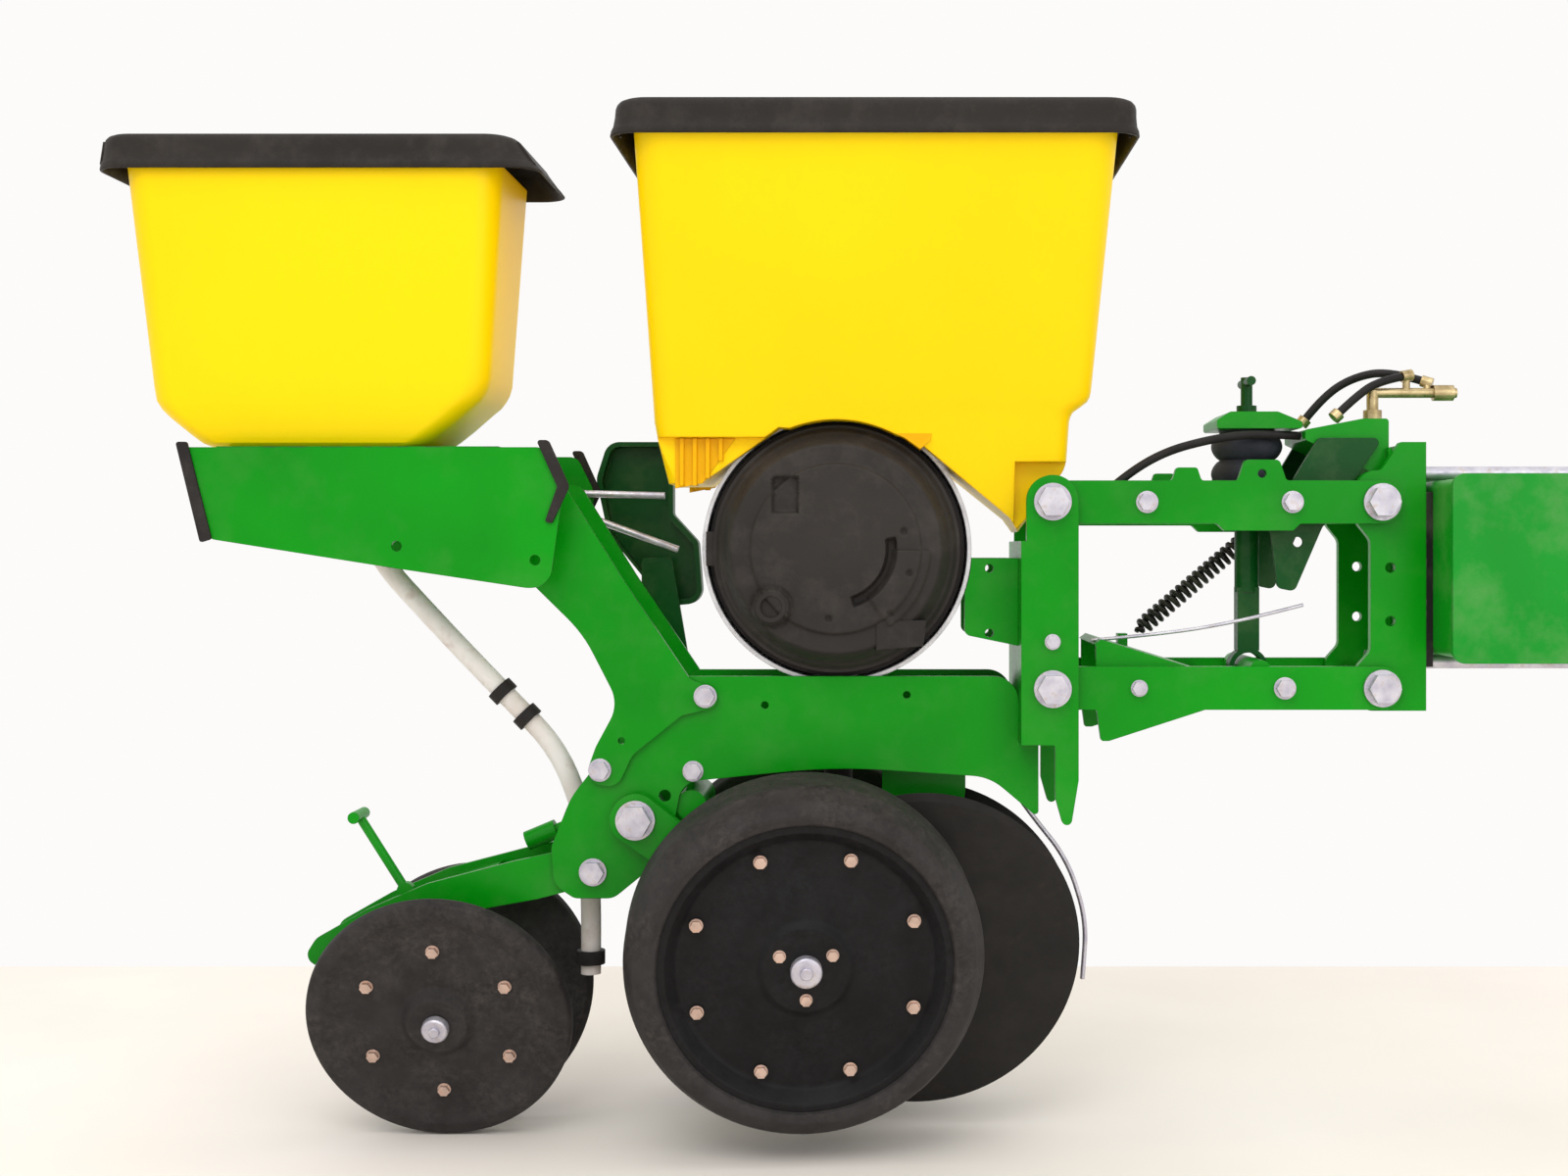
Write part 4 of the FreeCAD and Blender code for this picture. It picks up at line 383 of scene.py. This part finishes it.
def make(name, verts, faces, material, body, stands_for=(), smooth=35):
    mesh = bpy.data.meshes.new(name)
    mesh.from_pydata([tuple(v) for v in verts], [], faces)
    mesh.validate()
    work = bmesh.new()
    work.from_mesh(mesh)
    bmesh.ops.remove_doubles(work, verts=work.verts, dist=1e-6)
    bmesh.ops.recalc_face_normals(work, faces=work.faces)
    work.to_mesh(mesh)
    work.free()
    mesh.materials.append(material)
    piece = bpy.data.objects.new(name, mesh)
    bpy.context.scene.collection.objects.link(piece)
    if smooth:
        mesh.shade_smooth()
        mesh.set_sharp_from_angle(angle=math.radians(smooth))
    if body:
        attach(piece, body)
    if stands_for:
        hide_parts(*stands_for)
    return piece


def ring_of(low_x, high_x, half, z, radius, steps=7, soft_rear=None, soft_front=None):
    """A rounded rectangle at height z: corners in order rear-right, front-right, front-left, rear-left."""
    points = []
    rear = radius if soft_rear is None else soft_rear
    front = radius if soft_front is None else soft_front
    corners = [(low_x, -half, rear, 180), (high_x, -half, front, 270),
               (high_x, half, front, 0), (low_x, half, rear, 90)]
    for x, y, r, start in corners:
        cx = x + r if x == low_x else x - r
        cy = y + r if y < 0 else y - r
        for i in range(steps):
            angle = math.radians(start + 90 * i / (steps - 1))
            points.append(Vector((cx + r * math.cos(angle), cy + r * math.sin(angle), z)))
    return points


def loft(rings, close_first=True, close_last=True):
    """Quads between rings of equal length, with a fan at each closed end."""
    verts, faces = [], []
    count = len(rings[0])
    for ring in rings:
        verts += ring
    for a in range(len(rings) - 1):
        for i in range(count):
            j = (i + 1) % count
            faces.append((a * count + i, a * count + j, (a + 1) * count + j, (a + 1) * count + i))
    if close_first:
        faces.append(tuple(range(count))[::-1])
    if close_last:
        faces.append(tuple((len(rings) - 1) * count + i for i in range(count)))
    return verts, faces


def along(points, value):
    """Reads a piecewise line of (height, value) pairs."""
    if value <= points[0][0]:
        return points[0][1]
    for (a, x), (b, y) in zip(points, points[1:]):
        if value <= b:
            return x + (y - x) * (value - a) / (b - a)
    return points[-1][1]


def lathe(profile, steps=96):
    """Points (radius, height) turned round the local Y axis."""
    verts, faces = [], []
    for i in range(steps):
        angle = 2 * math.pi * i / steps
        for r, y in profile:
            verts.append(Vector((r * math.cos(angle), y, r * math.sin(angle))))
    n = len(profile)
    for i in range(steps):
        j = (i + 1) % steps
        for k in range(n - 1):
            faces.append((i * n + k, i * n + k + 1, j * n + k + 1, j * n + k))
    return verts, faces


# ---------------------------------------------------------------- hoppers

def boolean(piece, tool, kind):
    cutter = piece.modifiers.new("cut", "BOOLEAN")
    cutter.operation = kind
    cutter.solver = "EXACT"
    cutter.object = tool
    bpy.context.view_layer.update()
    shape = piece.evaluated_get(bpy.context.evaluated_depsgraph_get())
    mesh = bpy.data.meshes.new_from_object(shape)
    piece.modifiers.clear()
    piece.data = mesh
    bpy.data.objects.remove(tool)
    return piece


def hopper_rings(levels, rear, front, half, radius, steps=8, soft_front=None, soft_rear=None):
    rings = []
    for up in levels:
        x0, z = row(along(rear, up), up)
        x1 = row(along(front, up), up)[0]
        rings.append(ring_of(x0, x1, along(half, up) / 1000, z, along(radius, up) / 1000, steps,
                             soft_rear, soft_front))
    return rings


def rounded(points, steps=6):
    """An outline whose corners with a third number are arcs of that radius."""
    out = []
    for i, point in enumerate(points):
        here = Vector(point[:2])
        radius = point[2] if len(point) > 2 else 0
        if not radius:
            out.append(here)
            continue
        a = (Vector(points[i - 1][:2]) - here).normalized()
        b = (Vector(points[(i + 1) % len(points)][:2]) - here).normalized()
        half_angle = a.angle(b) / 2
        back = radius / math.tan(half_angle)
        middle = here + (a + b).normalized() * (radius / math.sin(half_angle))
        first, last = here + a * back - middle, here + b * back - middle
        for k in range(steps + 1):
            out.append(middle + first.slerp(last, k / steps))
    return out


def prism(outline, low_y, high_y):
    """A side outline in row coordinates, drawn out along Y."""
    rings = []
    for y in (low_y, high_y):
        ring = []
        for back, up in outline:
            x, z = row(back, up)
            ring.append(Vector((x, y, z)))
        rings.append(ring)
    return loft(rings)


def cut_away(whole, shape):
    verts, faces = shape
    return boolean(whole, make("cutter", verts, faces, YELLOW, None, smooth=None), "DIFFERENCE")


def seed_hopper():
    """The deep hopper: lofted outside and inside, then cut away round the meter and beside both legs."""
    rear = [(SEED_BOTTOM, -438), (218, -440), (230, -444), (300, -460), (SEED_RIM, -473)]
    front = [(SEED_BOTTOM, -36), (250, 15), (258, 19), (310, 21.5), (318, 24), (330, 41), (338, 45.5),
             (SEED_RIM, 67)]
    half = [(SEED_BOTTOM, 64), (SEED_RIM, 205)]
    soft = [(SEED_BOTTOM, 16), (330, 26), (SEED_RIM, 38)]
    levels = [SEED_BOTTOM, 205, 224, 234, 250, 254, 260, 285, 308, 314, 319, 325, 331, 336, 342,
              380, 440, 500, 560, SEED_RIM]
    body = hopper_rings(levels, rear, front, half, soft)
    inside = [row_ring(up, rear, front, half, soft, HOPPER_WALL) for up in (SEED_RIM, 560, 480, 400, 362)]
    floor = [row_ring(352, rear, front, half, soft, 16), row_ring(347, rear, front, half, soft, 60)]
    verts, faces = loft(body + inside + floor, True, True)
    whole = make("seed_hopper_shell", verts, faces, YELLOW, None, smooth=None)
    under = [(-620, 100), (-620, 222), (-441, 226, 12), (-402, 233, 6), (-330, 330, 30), (-140, 330, 40),
             (-52, 192, 8), (-36, SEED_BOTTOM - 0.5), (-36, 100)]
    whole = cut_away(whole, prism(rounded(under), -FAR_OUT, FAR_OUT))
    place = Vector((METER.x, 0, METER.z))
    for radius, low_y, high_y in ((HOUSING_ARCH, -ARCH_STEP, FAR_OUT),
                                  (COVER_ARCH, -FAR_OUT, 0.0005 - ARCH_STEP)):
        verts, faces = lathe([(0, low_y), (radius, low_y), (radius, high_y), (0, high_y)], 128)
        whole = cut_away(whole, ([v + place for v in verts], faces))
    front_leg = [(-42, 100), (-42, FRONT_LEG_TOP), (130, FRONT_LEG_TOP), (130, 100)]
    rear_leg = [(-600, 100), (-600, REAR_LEG_TOP), (-330, REAR_LEG_TOP), (-330, 100)]
    for side in (-1, 1):
        for outline, leg_half in ((front_leg, FRONT_LEG_HALF), (rear_leg, REAR_LEG_HALF)):
            low_y, high_y = sorted((side * leg_half, side * FAR_OUT))
            whole = cut_away(whole, prism(outline, low_y, high_y))
    finish_shell(whole, "row_unit", "seed_hopper")
    return whole


def row_ring(up, rear, front, half, soft, inset):
    x0, z = row(along(rear, up) + inset, up)
    x1 = row(along(front, up) - inset, up)[0]
    r = max(along(soft, up) - inset, 6) / 1000
    return ring_of(x0, x1, (along(half, up) - inset) / 1000, z, r, 8)


def finish_shell(piece, body, node, angle=32):
    mesh = piece.data
    work = bmesh.new()
    work.from_mesh(mesh)
    bmesh.ops.remove_doubles(work, verts=work.verts, dist=2e-5)
    bmesh.ops.recalc_face_normals(work, faces=work.faces)
    work.to_mesh(mesh)
    work.free()
    mesh.shade_smooth()
    mesh.set_sharp_from_angle(angle=math.radians(angle))
    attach(piece, body)
    if node:
        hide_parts(node)


def small_hopper():
    """The rear hopper: a tapered tub with a narrow flat floor."""
    rear = [(SMALL_BOTTOM, -970), (279.5, -979), (284, -990), (292, -1001), (310, -1024), (322, -1038),
            (334, -1045.5), (350, -1048), (SMALL_RIM, -1075)]
    front = [(SMALL_BOTTOM, -749), (279.5, -740), (284, -729), (292, -717), (305, -700), (318, -685),
             (334, -666), (346, -657), (360, -653), (SMALL_RIM, -637)]
    half = [(SMALL_BOTTOM, 74), (280, 80), (284, 84), (292, 85.5), (SMALL_RIM, 102)]
    soft = [(SMALL_BOTTOM, 22), (324, 30), (SMALL_RIM, 32)]
    levels = [SMALL_BOTTOM + 0.2, 279.5, 281, 284, 288, 292, 300, 308, 316, 324, 334, 342, 350, 360, 380,
              440, 500, 560, SMALL_RIM]
    body = hopper_rings(levels, rear, front, half, soft)
    inside = [row_ring(up, rear, front, half, soft, HOPPER_WALL)
              for up in (SMALL_RIM, 560, 480, 400, 360, 330, 306)]
    floor = [row_ring(296, rear, front, half, soft, 14), row_ring(286, rear, front, half, soft, 50)]
    verts, faces = loft(body + inside + floor)
    piece = make("small_hopper_shell", verts, faces, YELLOW, None, smooth=None)
    finish_shell(piece, "row_unit", "small_hopper")


def hopper_details():
    """Moulded ribs and pads in the recesses of the seed hopper beside the meter, coloured a darker orange
    yellow as painted shade.
    """
    for side, word in ((-1, "r"), (1, "l")):
        for i in range(7):
            back = -428 + 15 * i
            foot = 234 if back < -400 else 240 + (back + 400) * 1.347
            if foot > 280:
                continue
            rings = []
            for up in (foot, 289):
                x, z = row(back, up)
                rings.append([Vector((x + a, side * y, z)) for a, y in
                              ((-0.0035, 0.081), (-0.0022, 0.0885), (0.0022, 0.0885), (0.0035, 0.081))])
            verts, faces = loft(rings)
            make("hopper_rib_%s_%d" % (word, i), verts, faces, RECESS_SHADE_YELLOW, "row_unit")
        # painted shade: a thin orange yellow sheet on the face of the recess, standing in for the shadow
        # under the overhang
        low = [(-436, 231), (-404, 237), (-366, 289), (-436, 289)]
        a, b = sorted((side * 0.0815, side * 0.0835))
        verts, faces = prism(low, a, b)
        make("hopper_recess_shade_sheet_%s" % word, verts, faces, RECESS_SHADE_YELLOW, "row_unit")
        # the block beside the meter is also coloured in the painted-shade orange yellow
        a, b = sorted((side * 0.064, side * 0.100))
        verts, faces = prism([(-196, 300), (-196, 329), (-150, 329), (-134, 318), (-140, 286), (-152, 276),
                              (-170, 289)], a, b)
        make("hopper_gate_%s" % word, verts, faces, RECESS_SHADE_YELLOW, "row_unit")


# ---------------------------------------------------------------- lids

def lid(name, node, body, rear, front, half, top, rear_in, front_in, corner=0.034):
    """A pressed lid: crowned panel, rounded shoulder, skirt with a lip that flares at both ends."""
    def at(up, inset, extra=0.0):
        share = (top - up) / 46
        x0 = row(rear + rear_in * (1 - share) + inset, up)
        x1 = row(front - front_in * (1 - share) - inset, up)
        y = (half - 3.0 * (1 - share) - inset) / 1000
        r = max(corner - inset / 1000 * 0.8 + extra, 0.005)
        return ring_of(x0[0], x1[0], y, x0[1], r, 9)

    # each ring's drop below the crown and its inset: panel, shoulder, skirt and lip outside, then inside
    section = ((2.5, 150), (2.0, 60), (3.0, 30), (7.5, 21), (8.0, 16), (4.5, 12), (5.2, 7), (7.0, 3.2),
               (10.5, 0.8), (15, 0.2), (24, 1.2), (34, 1.4), (37, 0.6), (39, 0.0), (44.5, 0.0), (45.8, 1.0),
               (45.8, 3.0), (43, 4.2), (36, 5.0), (16, 5.0), (13.5, 8.0), (12.5, 60), (12.5, 150))
    rings = [at(top - drop, inset) for drop, inset in section]
    verts, faces = loft(rings, True, True)
    piece = make(name, verts, faces, LID, body, [node], 40)
    # short stiffening ribs round the skirt at the ends
    count = 0
    x_rear, x_front = row(rear, 0)[0], row(front, 0)[0]
    for x, sign, lean in ((x_rear, 1, rear_in), (x_front, -1, front_in)):
        for y in (-0.165, -0.150, 0.150, 0.165):
            y = y * half / 214
            z0, z1 = LOW_Z + (top - 38) / 1000, LOW_Z + (top - 12) / 1000
            lower = x + sign * (0.0012 + lean / 1000 * 0.17)
            upper = x + sign * (0.0012 + lean / 1000 * 0.74)
            box = []
            for z, at_x in ((z0, lower), (z1, upper)):
                box.append([Vector((at_x, y - 0.003, z)), Vector((at_x + sign * 0.006, y - 0.003, z)),
                            Vector((at_x + sign * 0.006, y + 0.003, z)), Vector((at_x, y + 0.003, z))])
            verts, faces = loft(box)
            make("%s_rib_%d" % (name, count), verts, faces, LID, body)
            count += 1
    return piece


# ---------------------------------------------------------------- seed meter

def smooth_step(a, b, value):
    share = min(max((value - a) / (b - a), 0), 1)
    return share * share * (3 - 2 * share)


def dome_relief(x, z):
    """Depth of the cover face towards the viewer at a place on it, in millimetres from the centre."""
    r = math.hypot(x, z)
    angle = math.degrees(math.atan2(z, x)) % 360
    rim = 16.0 + 10.0 * (1 - smooth_step(134, 141, r))
    wall = 22 * (1 - smooth_step(118, 134, r)) ** 0.8
    height = rim + wall
    # the raised middle pan, with a soft shoulder
    height += 5.0 * (1 - smooth_step(96, 100, r))
    # C-shaped step on the lower right: the outlet plateau
    plateau = smooth_step(64, 68, r) * (1 - smooth_step(106, 112, r))
    window = smooth_step(302, 306, angle) * (1 - smooth_step(358, 361, angle)) if angle > 180 else 0
    height += -12.0 * smooth_step(57, 60, r) * (1 - smooth_step(68, 71, r)) * (
        smooth_step(286, 290, angle) if angle > 180 else 1 - smooth_step(8, 12, angle) if angle < 90 else 0)
    height += 5.0 * plateau * window
    # recess on the upper left
    dx, dz = x + 58, z - 62
    height -= 9.0 * (1 - smooth_step(13, 15.5, max(abs(dx), abs(dz) * 0.7)))
    # round pad at the middle
    height += 0.8 * (1 - smooth_step(9, 12, r))
    # four shallow screw dimples
    for px, pz in ((84, -28), (62, -74), (-8, -80), (78, 20)):
        height -= 4.0 * (1 - smooth_step(2.5, 4.5, math.hypot(x - px, z - pz)))
    # boss of the air port
    far = math.hypot(x + 74, z + 67)
    height += 6.0 * (1 - smooth_step(20, 23, far))
    height -= 1.6 * (1 - smooth_step(24, 27, far)) * smooth_step(20, 23, far)
    return height


def dome():
    rings, around = 84, 240
    verts, faces = [], []
    face_y = -0.0604
    limit = 144.0
    for i in range(rings + 1):
        share = i / rings
        r = limit * (share ** 0.9)
        for j in range(around):
            angle = 2 * math.pi * j / around
            x, z = r * math.cos(angle), r * math.sin(angle)
            verts.append(Vector((METER.x + x / 1000, face_y - dome_relief(x, z) / 1000, METER.z + z / 1000)))
    for i in range(rings):
        for j in range(around):
            k = (j + 1) % around
            faces.append((i * around + j, i * around + k, (i + 1) * around + k, (i + 1) * around + j))
    base = len(verts)
    for r, y in ((144, -8), (143.5, -1.5), (142.8, 0), (139, 0), (137, -20)):
        for j in range(around):
            angle = 2 * math.pi * j / around
            verts.append(Vector((METER.x + r / 1000 * math.cos(angle), face_y + y / 1000,
                                 METER.z + r / 1000 * math.sin(angle))))
    previous = rings * around
    for step in range(5):
        start = base + step * around
        for j in range(around):
            k = (j + 1) % around
            faces.append((previous + j, previous + k, start + k, start + j))
        previous = start
    piece = make("meter_cover_shell", verts, faces, COVER, "dome", ["vacuum_dome"], 50)
    # air port: a real short tube with a dark bore
    port = Vector((METER.x - 0.074, 0, METER.z - 0.067))
    profile = [(0.0118, -0.092), (0.0118, -0.1190), (0.0128, -0.1203), (0.0170, -0.1203),
               (0.0180, -0.1192), (0.0180, -0.092)]
    verts, faces = lathe(profile, 48)
    make("meter_port_tube", [v + Vector((port.x, 0, port.z)) for v in verts], faces, COVER, "dome")
    verts, faces = lathe([(0.0, -0.1010), (0.0119, -0.1010)], 48)
    make("meter_port_floor", [v + Vector((port.x, 0, port.z)) for v in verts], faces, BLACK, "dome")
    # outlet box under the plateau
    rings = []
    for y, grow in ((-0.064, 0), (-0.1075, 0), (-0.1100, -0.0025)):
        ring = []
        for x, z in ((0.046, -0.117), (0.100, -0.112), (0.104, -0.082), (0.046, -0.082)):
            cx, cz = 0.074, -0.098
            scale = 1 + grow * 8
            ring.append(Vector((METER.x + cx + (x - cx) * scale, y, METER.z + cz + (z - cz) * scale)))
        rings.append(ring)
    verts, faces = loft(rings)
    make("meter_outlet_box", verts, faces, COVER, "dome")
    # hinge ear on the rear edge
    rings = []
    for z in (-0.020, 0.020):
        rings.append([Vector((METER.x + x, y, METER.z + z)) for x, y in
                      ((-0.152, -0.0745), (-0.138, -0.0745), (-0.138, -0.0625), (-0.152, -0.0625))])
    verts, faces = loft(rings)
    make("meter_cover_ear", verts, faces, COVER, "dome")


# ---------------------------------------------------------------- soft and sprung parts

def bellows():
    low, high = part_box("bellows")
    centre = (low + high) / 2
    tall = high.z - low.z
    big = (high.x - low.x) / 2
    profile = [(0.0, 0.0), (big * 0.80, 0.0)]
    folds = 3
    for i in range(folds * 14 + 1):
        share = i / (folds * 14)
        wave = abs(math.sin(math.pi * folds * share)) ** 0.75
        r = big * (0.76 + 0.24 * wave)
        profile.append((r, 0.003 + share * (tall - 0.006)))
    profile += [(big * 0.80, tall), (0.0, tall)]
    verts, faces = lathe(profile, 72)
    moved = [Vector((v.x + centre.x, v.z + centre.y, low.z + v.y)) for v in verts]
    piece = make("bellows_body", moved, faces, BELLOWS, None)
    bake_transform(piece)
    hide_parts("bellows")


def tube_mesh(name, centre_line, radius, material, sides=14):
    """A mesh tube along a list of points, its frame carried without twist."""
    verts, faces = [], []
    normal = None
    for i, point in enumerate(centre_line):
        before = centre_line[max(i - 1, 0)]
        after = centre_line[min(i + 1, len(centre_line) - 1)]
        way = (after - before).normalized()
        if normal is None:
            normal = way.orthogonal().normalized()
        normal = (normal - way * normal.dot(way)).normalized()
        side = way.cross(normal)
        for k in range(sides):
            angle = 2 * math.pi * k / sides
            verts.append(point + (normal * math.cos(angle) + side * math.sin(angle)) * radius)
    for i in range(len(centre_line) - 1):
        for k in range(sides):
            m = (k + 1) % sides
            faces.append((i * sides + k, i * sides + m, (i + 1) * sides + m, (i + 1) * sides + k))
    faces.append(tuple(range(sides))[::-1])
    faces.append(tuple((len(centre_line) - 1) * sides + k for k in range(sides)))
    return make(name, verts, faces, material, None)


def spline_curve(name, points, diameter=None, material=None):
    """One open NURBS spline with the route's points as its control points."""
    data = bpy.data.curves.new(name, "CURVE")
    data.dimensions = "3D"
    data.resolution_u = 16
    line = data.splines.new("NURBS")
    line.points.add(len(points) - 1)
    for place, point in zip(line.points, points):
        place.co = (*point, 1)
    line.order_u = 3
    line.use_endpoint_u = True
    if diameter:
        data.bevel_depth = diameter / 2
        data.bevel_resolution = 6
        data.use_fill_caps = True
    if material:
        data.materials.append(material)
    piece = bpy.data.objects.new(name, data)
    bpy.context.scene.collection.objects.link(piece)
    return piece


def read_line(points):
    """The smooth line that a NURBS spline makes of the control points."""
    guide = spline_curve("guide", points)
    bpy.context.view_layer.update()
    mesh = bpy.data.meshes.new_from_object(guide.evaluated_get(bpy.context.evaluated_depsgraph_get()))
    line = [v.co.copy() for v in mesh.vertices]
    bpy.data.objects.remove(guide)
    return line


def length_of(line):
    return sum((b - a).length for a, b in zip(line, line[1:]))


POST_X, CAP_Z, TEE_X, TEE_Z = -0.302, 0.164, -0.1556, 0.208
HOSE_DIAMETER = 0.010
HOSES = {
    "air_hose_a": [(POST_X + 0.0562, -0.034, CAP_Z - 0.008), (POST_X - 0.002, -0.053, CAP_Z - 0.006),
                   (POST_X - 0.056, -0.062, CAP_Z - 0.014), (POST_X - 0.110, -0.066, CAP_Z - 0.029),
                   (POST_X - 0.156, -0.070, CAP_Z - 0.057), (POST_X - 0.182, -0.078, CAP_Z - 0.080)],
    "air_hose_b": [(POST_X + 0.076, 0.022, CAP_Z + 0.016), (POST_X + 0.098, 0.019, CAP_Z + 0.044),
                   (POST_X + 0.1315, 0.013, CAP_Z + 0.0655), (POST_X + 0.171, 0.003, CAP_Z + 0.0725),
                   (TEE_X + 0.060, -0.012, TEE_Z + 0.0155)],
    "air_hose_c": [(POST_X + 0.103, -0.034, CAP_Z + 0.019), (POST_X + 0.122, -0.032, CAP_Z + 0.037),
                   (POST_X + 0.150, -0.029, CAP_Z + 0.057), (TEE_X + 0.0336, -0.022, TEE_Z + 0.019)],
}


def hoses():
    for name in ("air_hose_b", "air_hose_c"):
        piece = spline_curve(name + "_line", HOSES[name], HOSE_DIAMETER, HOSE)
        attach(piece, "toolbar_side")
        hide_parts(name)
        round(length_of(read_line(HOSES[name])), 4)
    line = read_line(HOSES["air_hose_a"])
    piece = tube_mesh("air_hose_a_line", line, HOSE_DIAMETER / 2, HOSE, 16)
    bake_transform(piece)
    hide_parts("air_hose_a")


def coil_spring():
    """The dark tension spring between strut bracket and lower arm, drawn in to a point at both ends."""
    top = Vector((-0.286, 0.0745, 0.037))
    low = Vector((-0.425, 0.0745, -0.081))
    way = low - top
    span = way.length
    way.normalize()
    side = Vector((0, 1, 0))
    up = way.cross(side).normalized()
    turns = 20
    wire, radius = 0.0030, 0.0092
    line = []
    for i in range(turns * 14 + 1):
        share = i / (turns * 14)
        angle = 2 * math.pi * turns * share
        grow = min(1.0, share * 14, (1 - share) * 14)
        offset = (side * math.cos(angle) + up * math.sin(angle)) * radius * max(grow, 0.02)
        line.append(top + way * (span * share) + offset)
    piece = tube_mesh("diagonal_spring_coil", line, wire, BLACK_STEEL, 7)
    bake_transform(piece)
    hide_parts("diagonal_spring")


def wires():
    """A thin sensor cable across the linkage."""
    line = read_line([(-0.496, -0.060, -0.085), (-0.430, -0.058, -0.080), (-0.330, -0.056, -0.066),
                      (-0.246, -0.055, -0.044)])
    piece = tube_mesh("sensor_cable", line, 0.0021, ZINC, 10)
    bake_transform(piece)


# ---------------------------------------------------------------- wheels

def wheel_frame(x, z, out, toe, lean, side):
    """Matrix that takes local -Y to a wheel's outward direction, for a right (-1) or left (+1) wheel."""
    toe, lean = math.radians(toe), math.radians(lean)
    way = Vector((math.sin(toe), -math.cos(toe) * math.cos(lean), -math.sin(lean))).normalized()
    turn = Vector((0, -1, 0)).rotation_difference(way).to_matrix().to_4x4()
    place = Matrix.Translation(Vector((x, -out, z))) @ turn
    if side > 0:
        place = Matrix.Scale(-1, 4, Vector((0, 1, 0))) @ place
    return place


def axle_nuts():
    """Plated domed nuts over the ends of the wheel axles."""
    for side, word in ((-1, "r"), (1, "l")):
        for name, place, start, tall, wide, body in (
                ("gauge_axle_nut_", wheel_frame(side=side, **GAUGE_WHEEL), 0.0494, 0.0112, 0.0178,
                 "gauge_arm_" + word),
                ("closing_axle_nut_", wheel_frame(side=side, **CLOSING_WHEEL), 0.0207, 0.0100, 0.0155,
                 "closing_unit")):
            end = start + tall
            profile = [(0.0, -end - 0.0030), (wide * 0.34, -end - 0.0030), (wide * 0.40, -end - 0.0022),
                       (wide * 0.42, -end), (wide * 0.86, -end), (wide * 0.96, -end + 0.0012),
                       (wide, -end + 0.0026), (wide, -start)]
            verts, faces = lathe(profile, 48)
            make(name + word, [place @ v for v in verts], faces, ZINC, body)


seed_hopper()
small_hopper()
hopper_details()
lid("seed_lid_shell", "seed_lid", "lid_seed", -498, 90, 214, 662, 9, 5)
lid("small_lid_shell", "small_lid", "lid_small", -1104, -590, 112, 644, 7, 34)
dome()
bellows()
hoses()
coil_spring()
wires()
axle_nuts()


# ---------------------------------------------------------------- stage, light and camera

def stage():
    """A pale floor that ends behind the unit; the pale surroundings are its wall."""
    floor_z = min(v[2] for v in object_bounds()) - 0.001
    verts = [(-9, -9, floor_z), (8, -9, floor_z), (8, 0.87, floor_z), (-9, 0.87, floor_z)]
    t = Tree("pale_floor")
    colour = t.ramp(t.noise(1.5, 4), [(0.35, (0.86, 0.80, 0.735)), (0.65, (0.90, 0.845, 0.785))])
    t.finish(colour, 0.6, 0.0)
    floor = make("studio_floor", verts, [(0, 1, 2, 3)], t.material, None, smooth=None)
    floor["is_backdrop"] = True


def lights():
    world = bpy.data.worlds.new("studio")
    bpy.context.scene.world = world
    world.use_nodes = True
    shade = world.node_tree.nodes["Background"]
    shade.inputs["Color"].default_value = (0.975, 0.965, 0.955, 1)
    shade.inputs["Strength"].default_value = 1.0
    for name, place, aim, size, power in (
            ("key", (-1.6, -3.2, 3.0), (-0.7, 0, 0), 2.4, 52),
            ("fill", (1.2, -3.0, 1.2), (-0.6, 0, -0.1), 2.2, 22),
            ("top", (-0.8, -0.4, 3.4), (-0.8, 0, 0), 2.6, 30)):
        data = bpy.data.lights.new(name, "AREA")
        data.size = size
        data.energy = power
        lamp = bpy.data.objects.new(name, data)
        lamp.location = place
        way = Vector(aim) - Vector(place)
        lamp.rotation_mode = "QUATERNION"
        lamp.rotation_quaternion = way.to_track_quat("-Z", "Y")
        bpy.context.scene.collection.objects.link(lamp)


def camera():
    data = bpy.data.cameras.new("camera")
    data.lens = 43.85
    data.sensor_width = 36
    data.shift_x = -0.0625
    data.shift_y = -0.025
    eye = bpy.data.objects.new("camera", data)
    eye.location = (-0.741, -2.300, 0.022)
    eye.rotation_euler = (math.radians(90), 0, 0)
    bpy.context.scene.collection.objects.link(eye)
    bpy.context.scene.camera = eye


stage()
lights()
camera()
bpy.context.scene.view_settings.view_transform = "Standard"
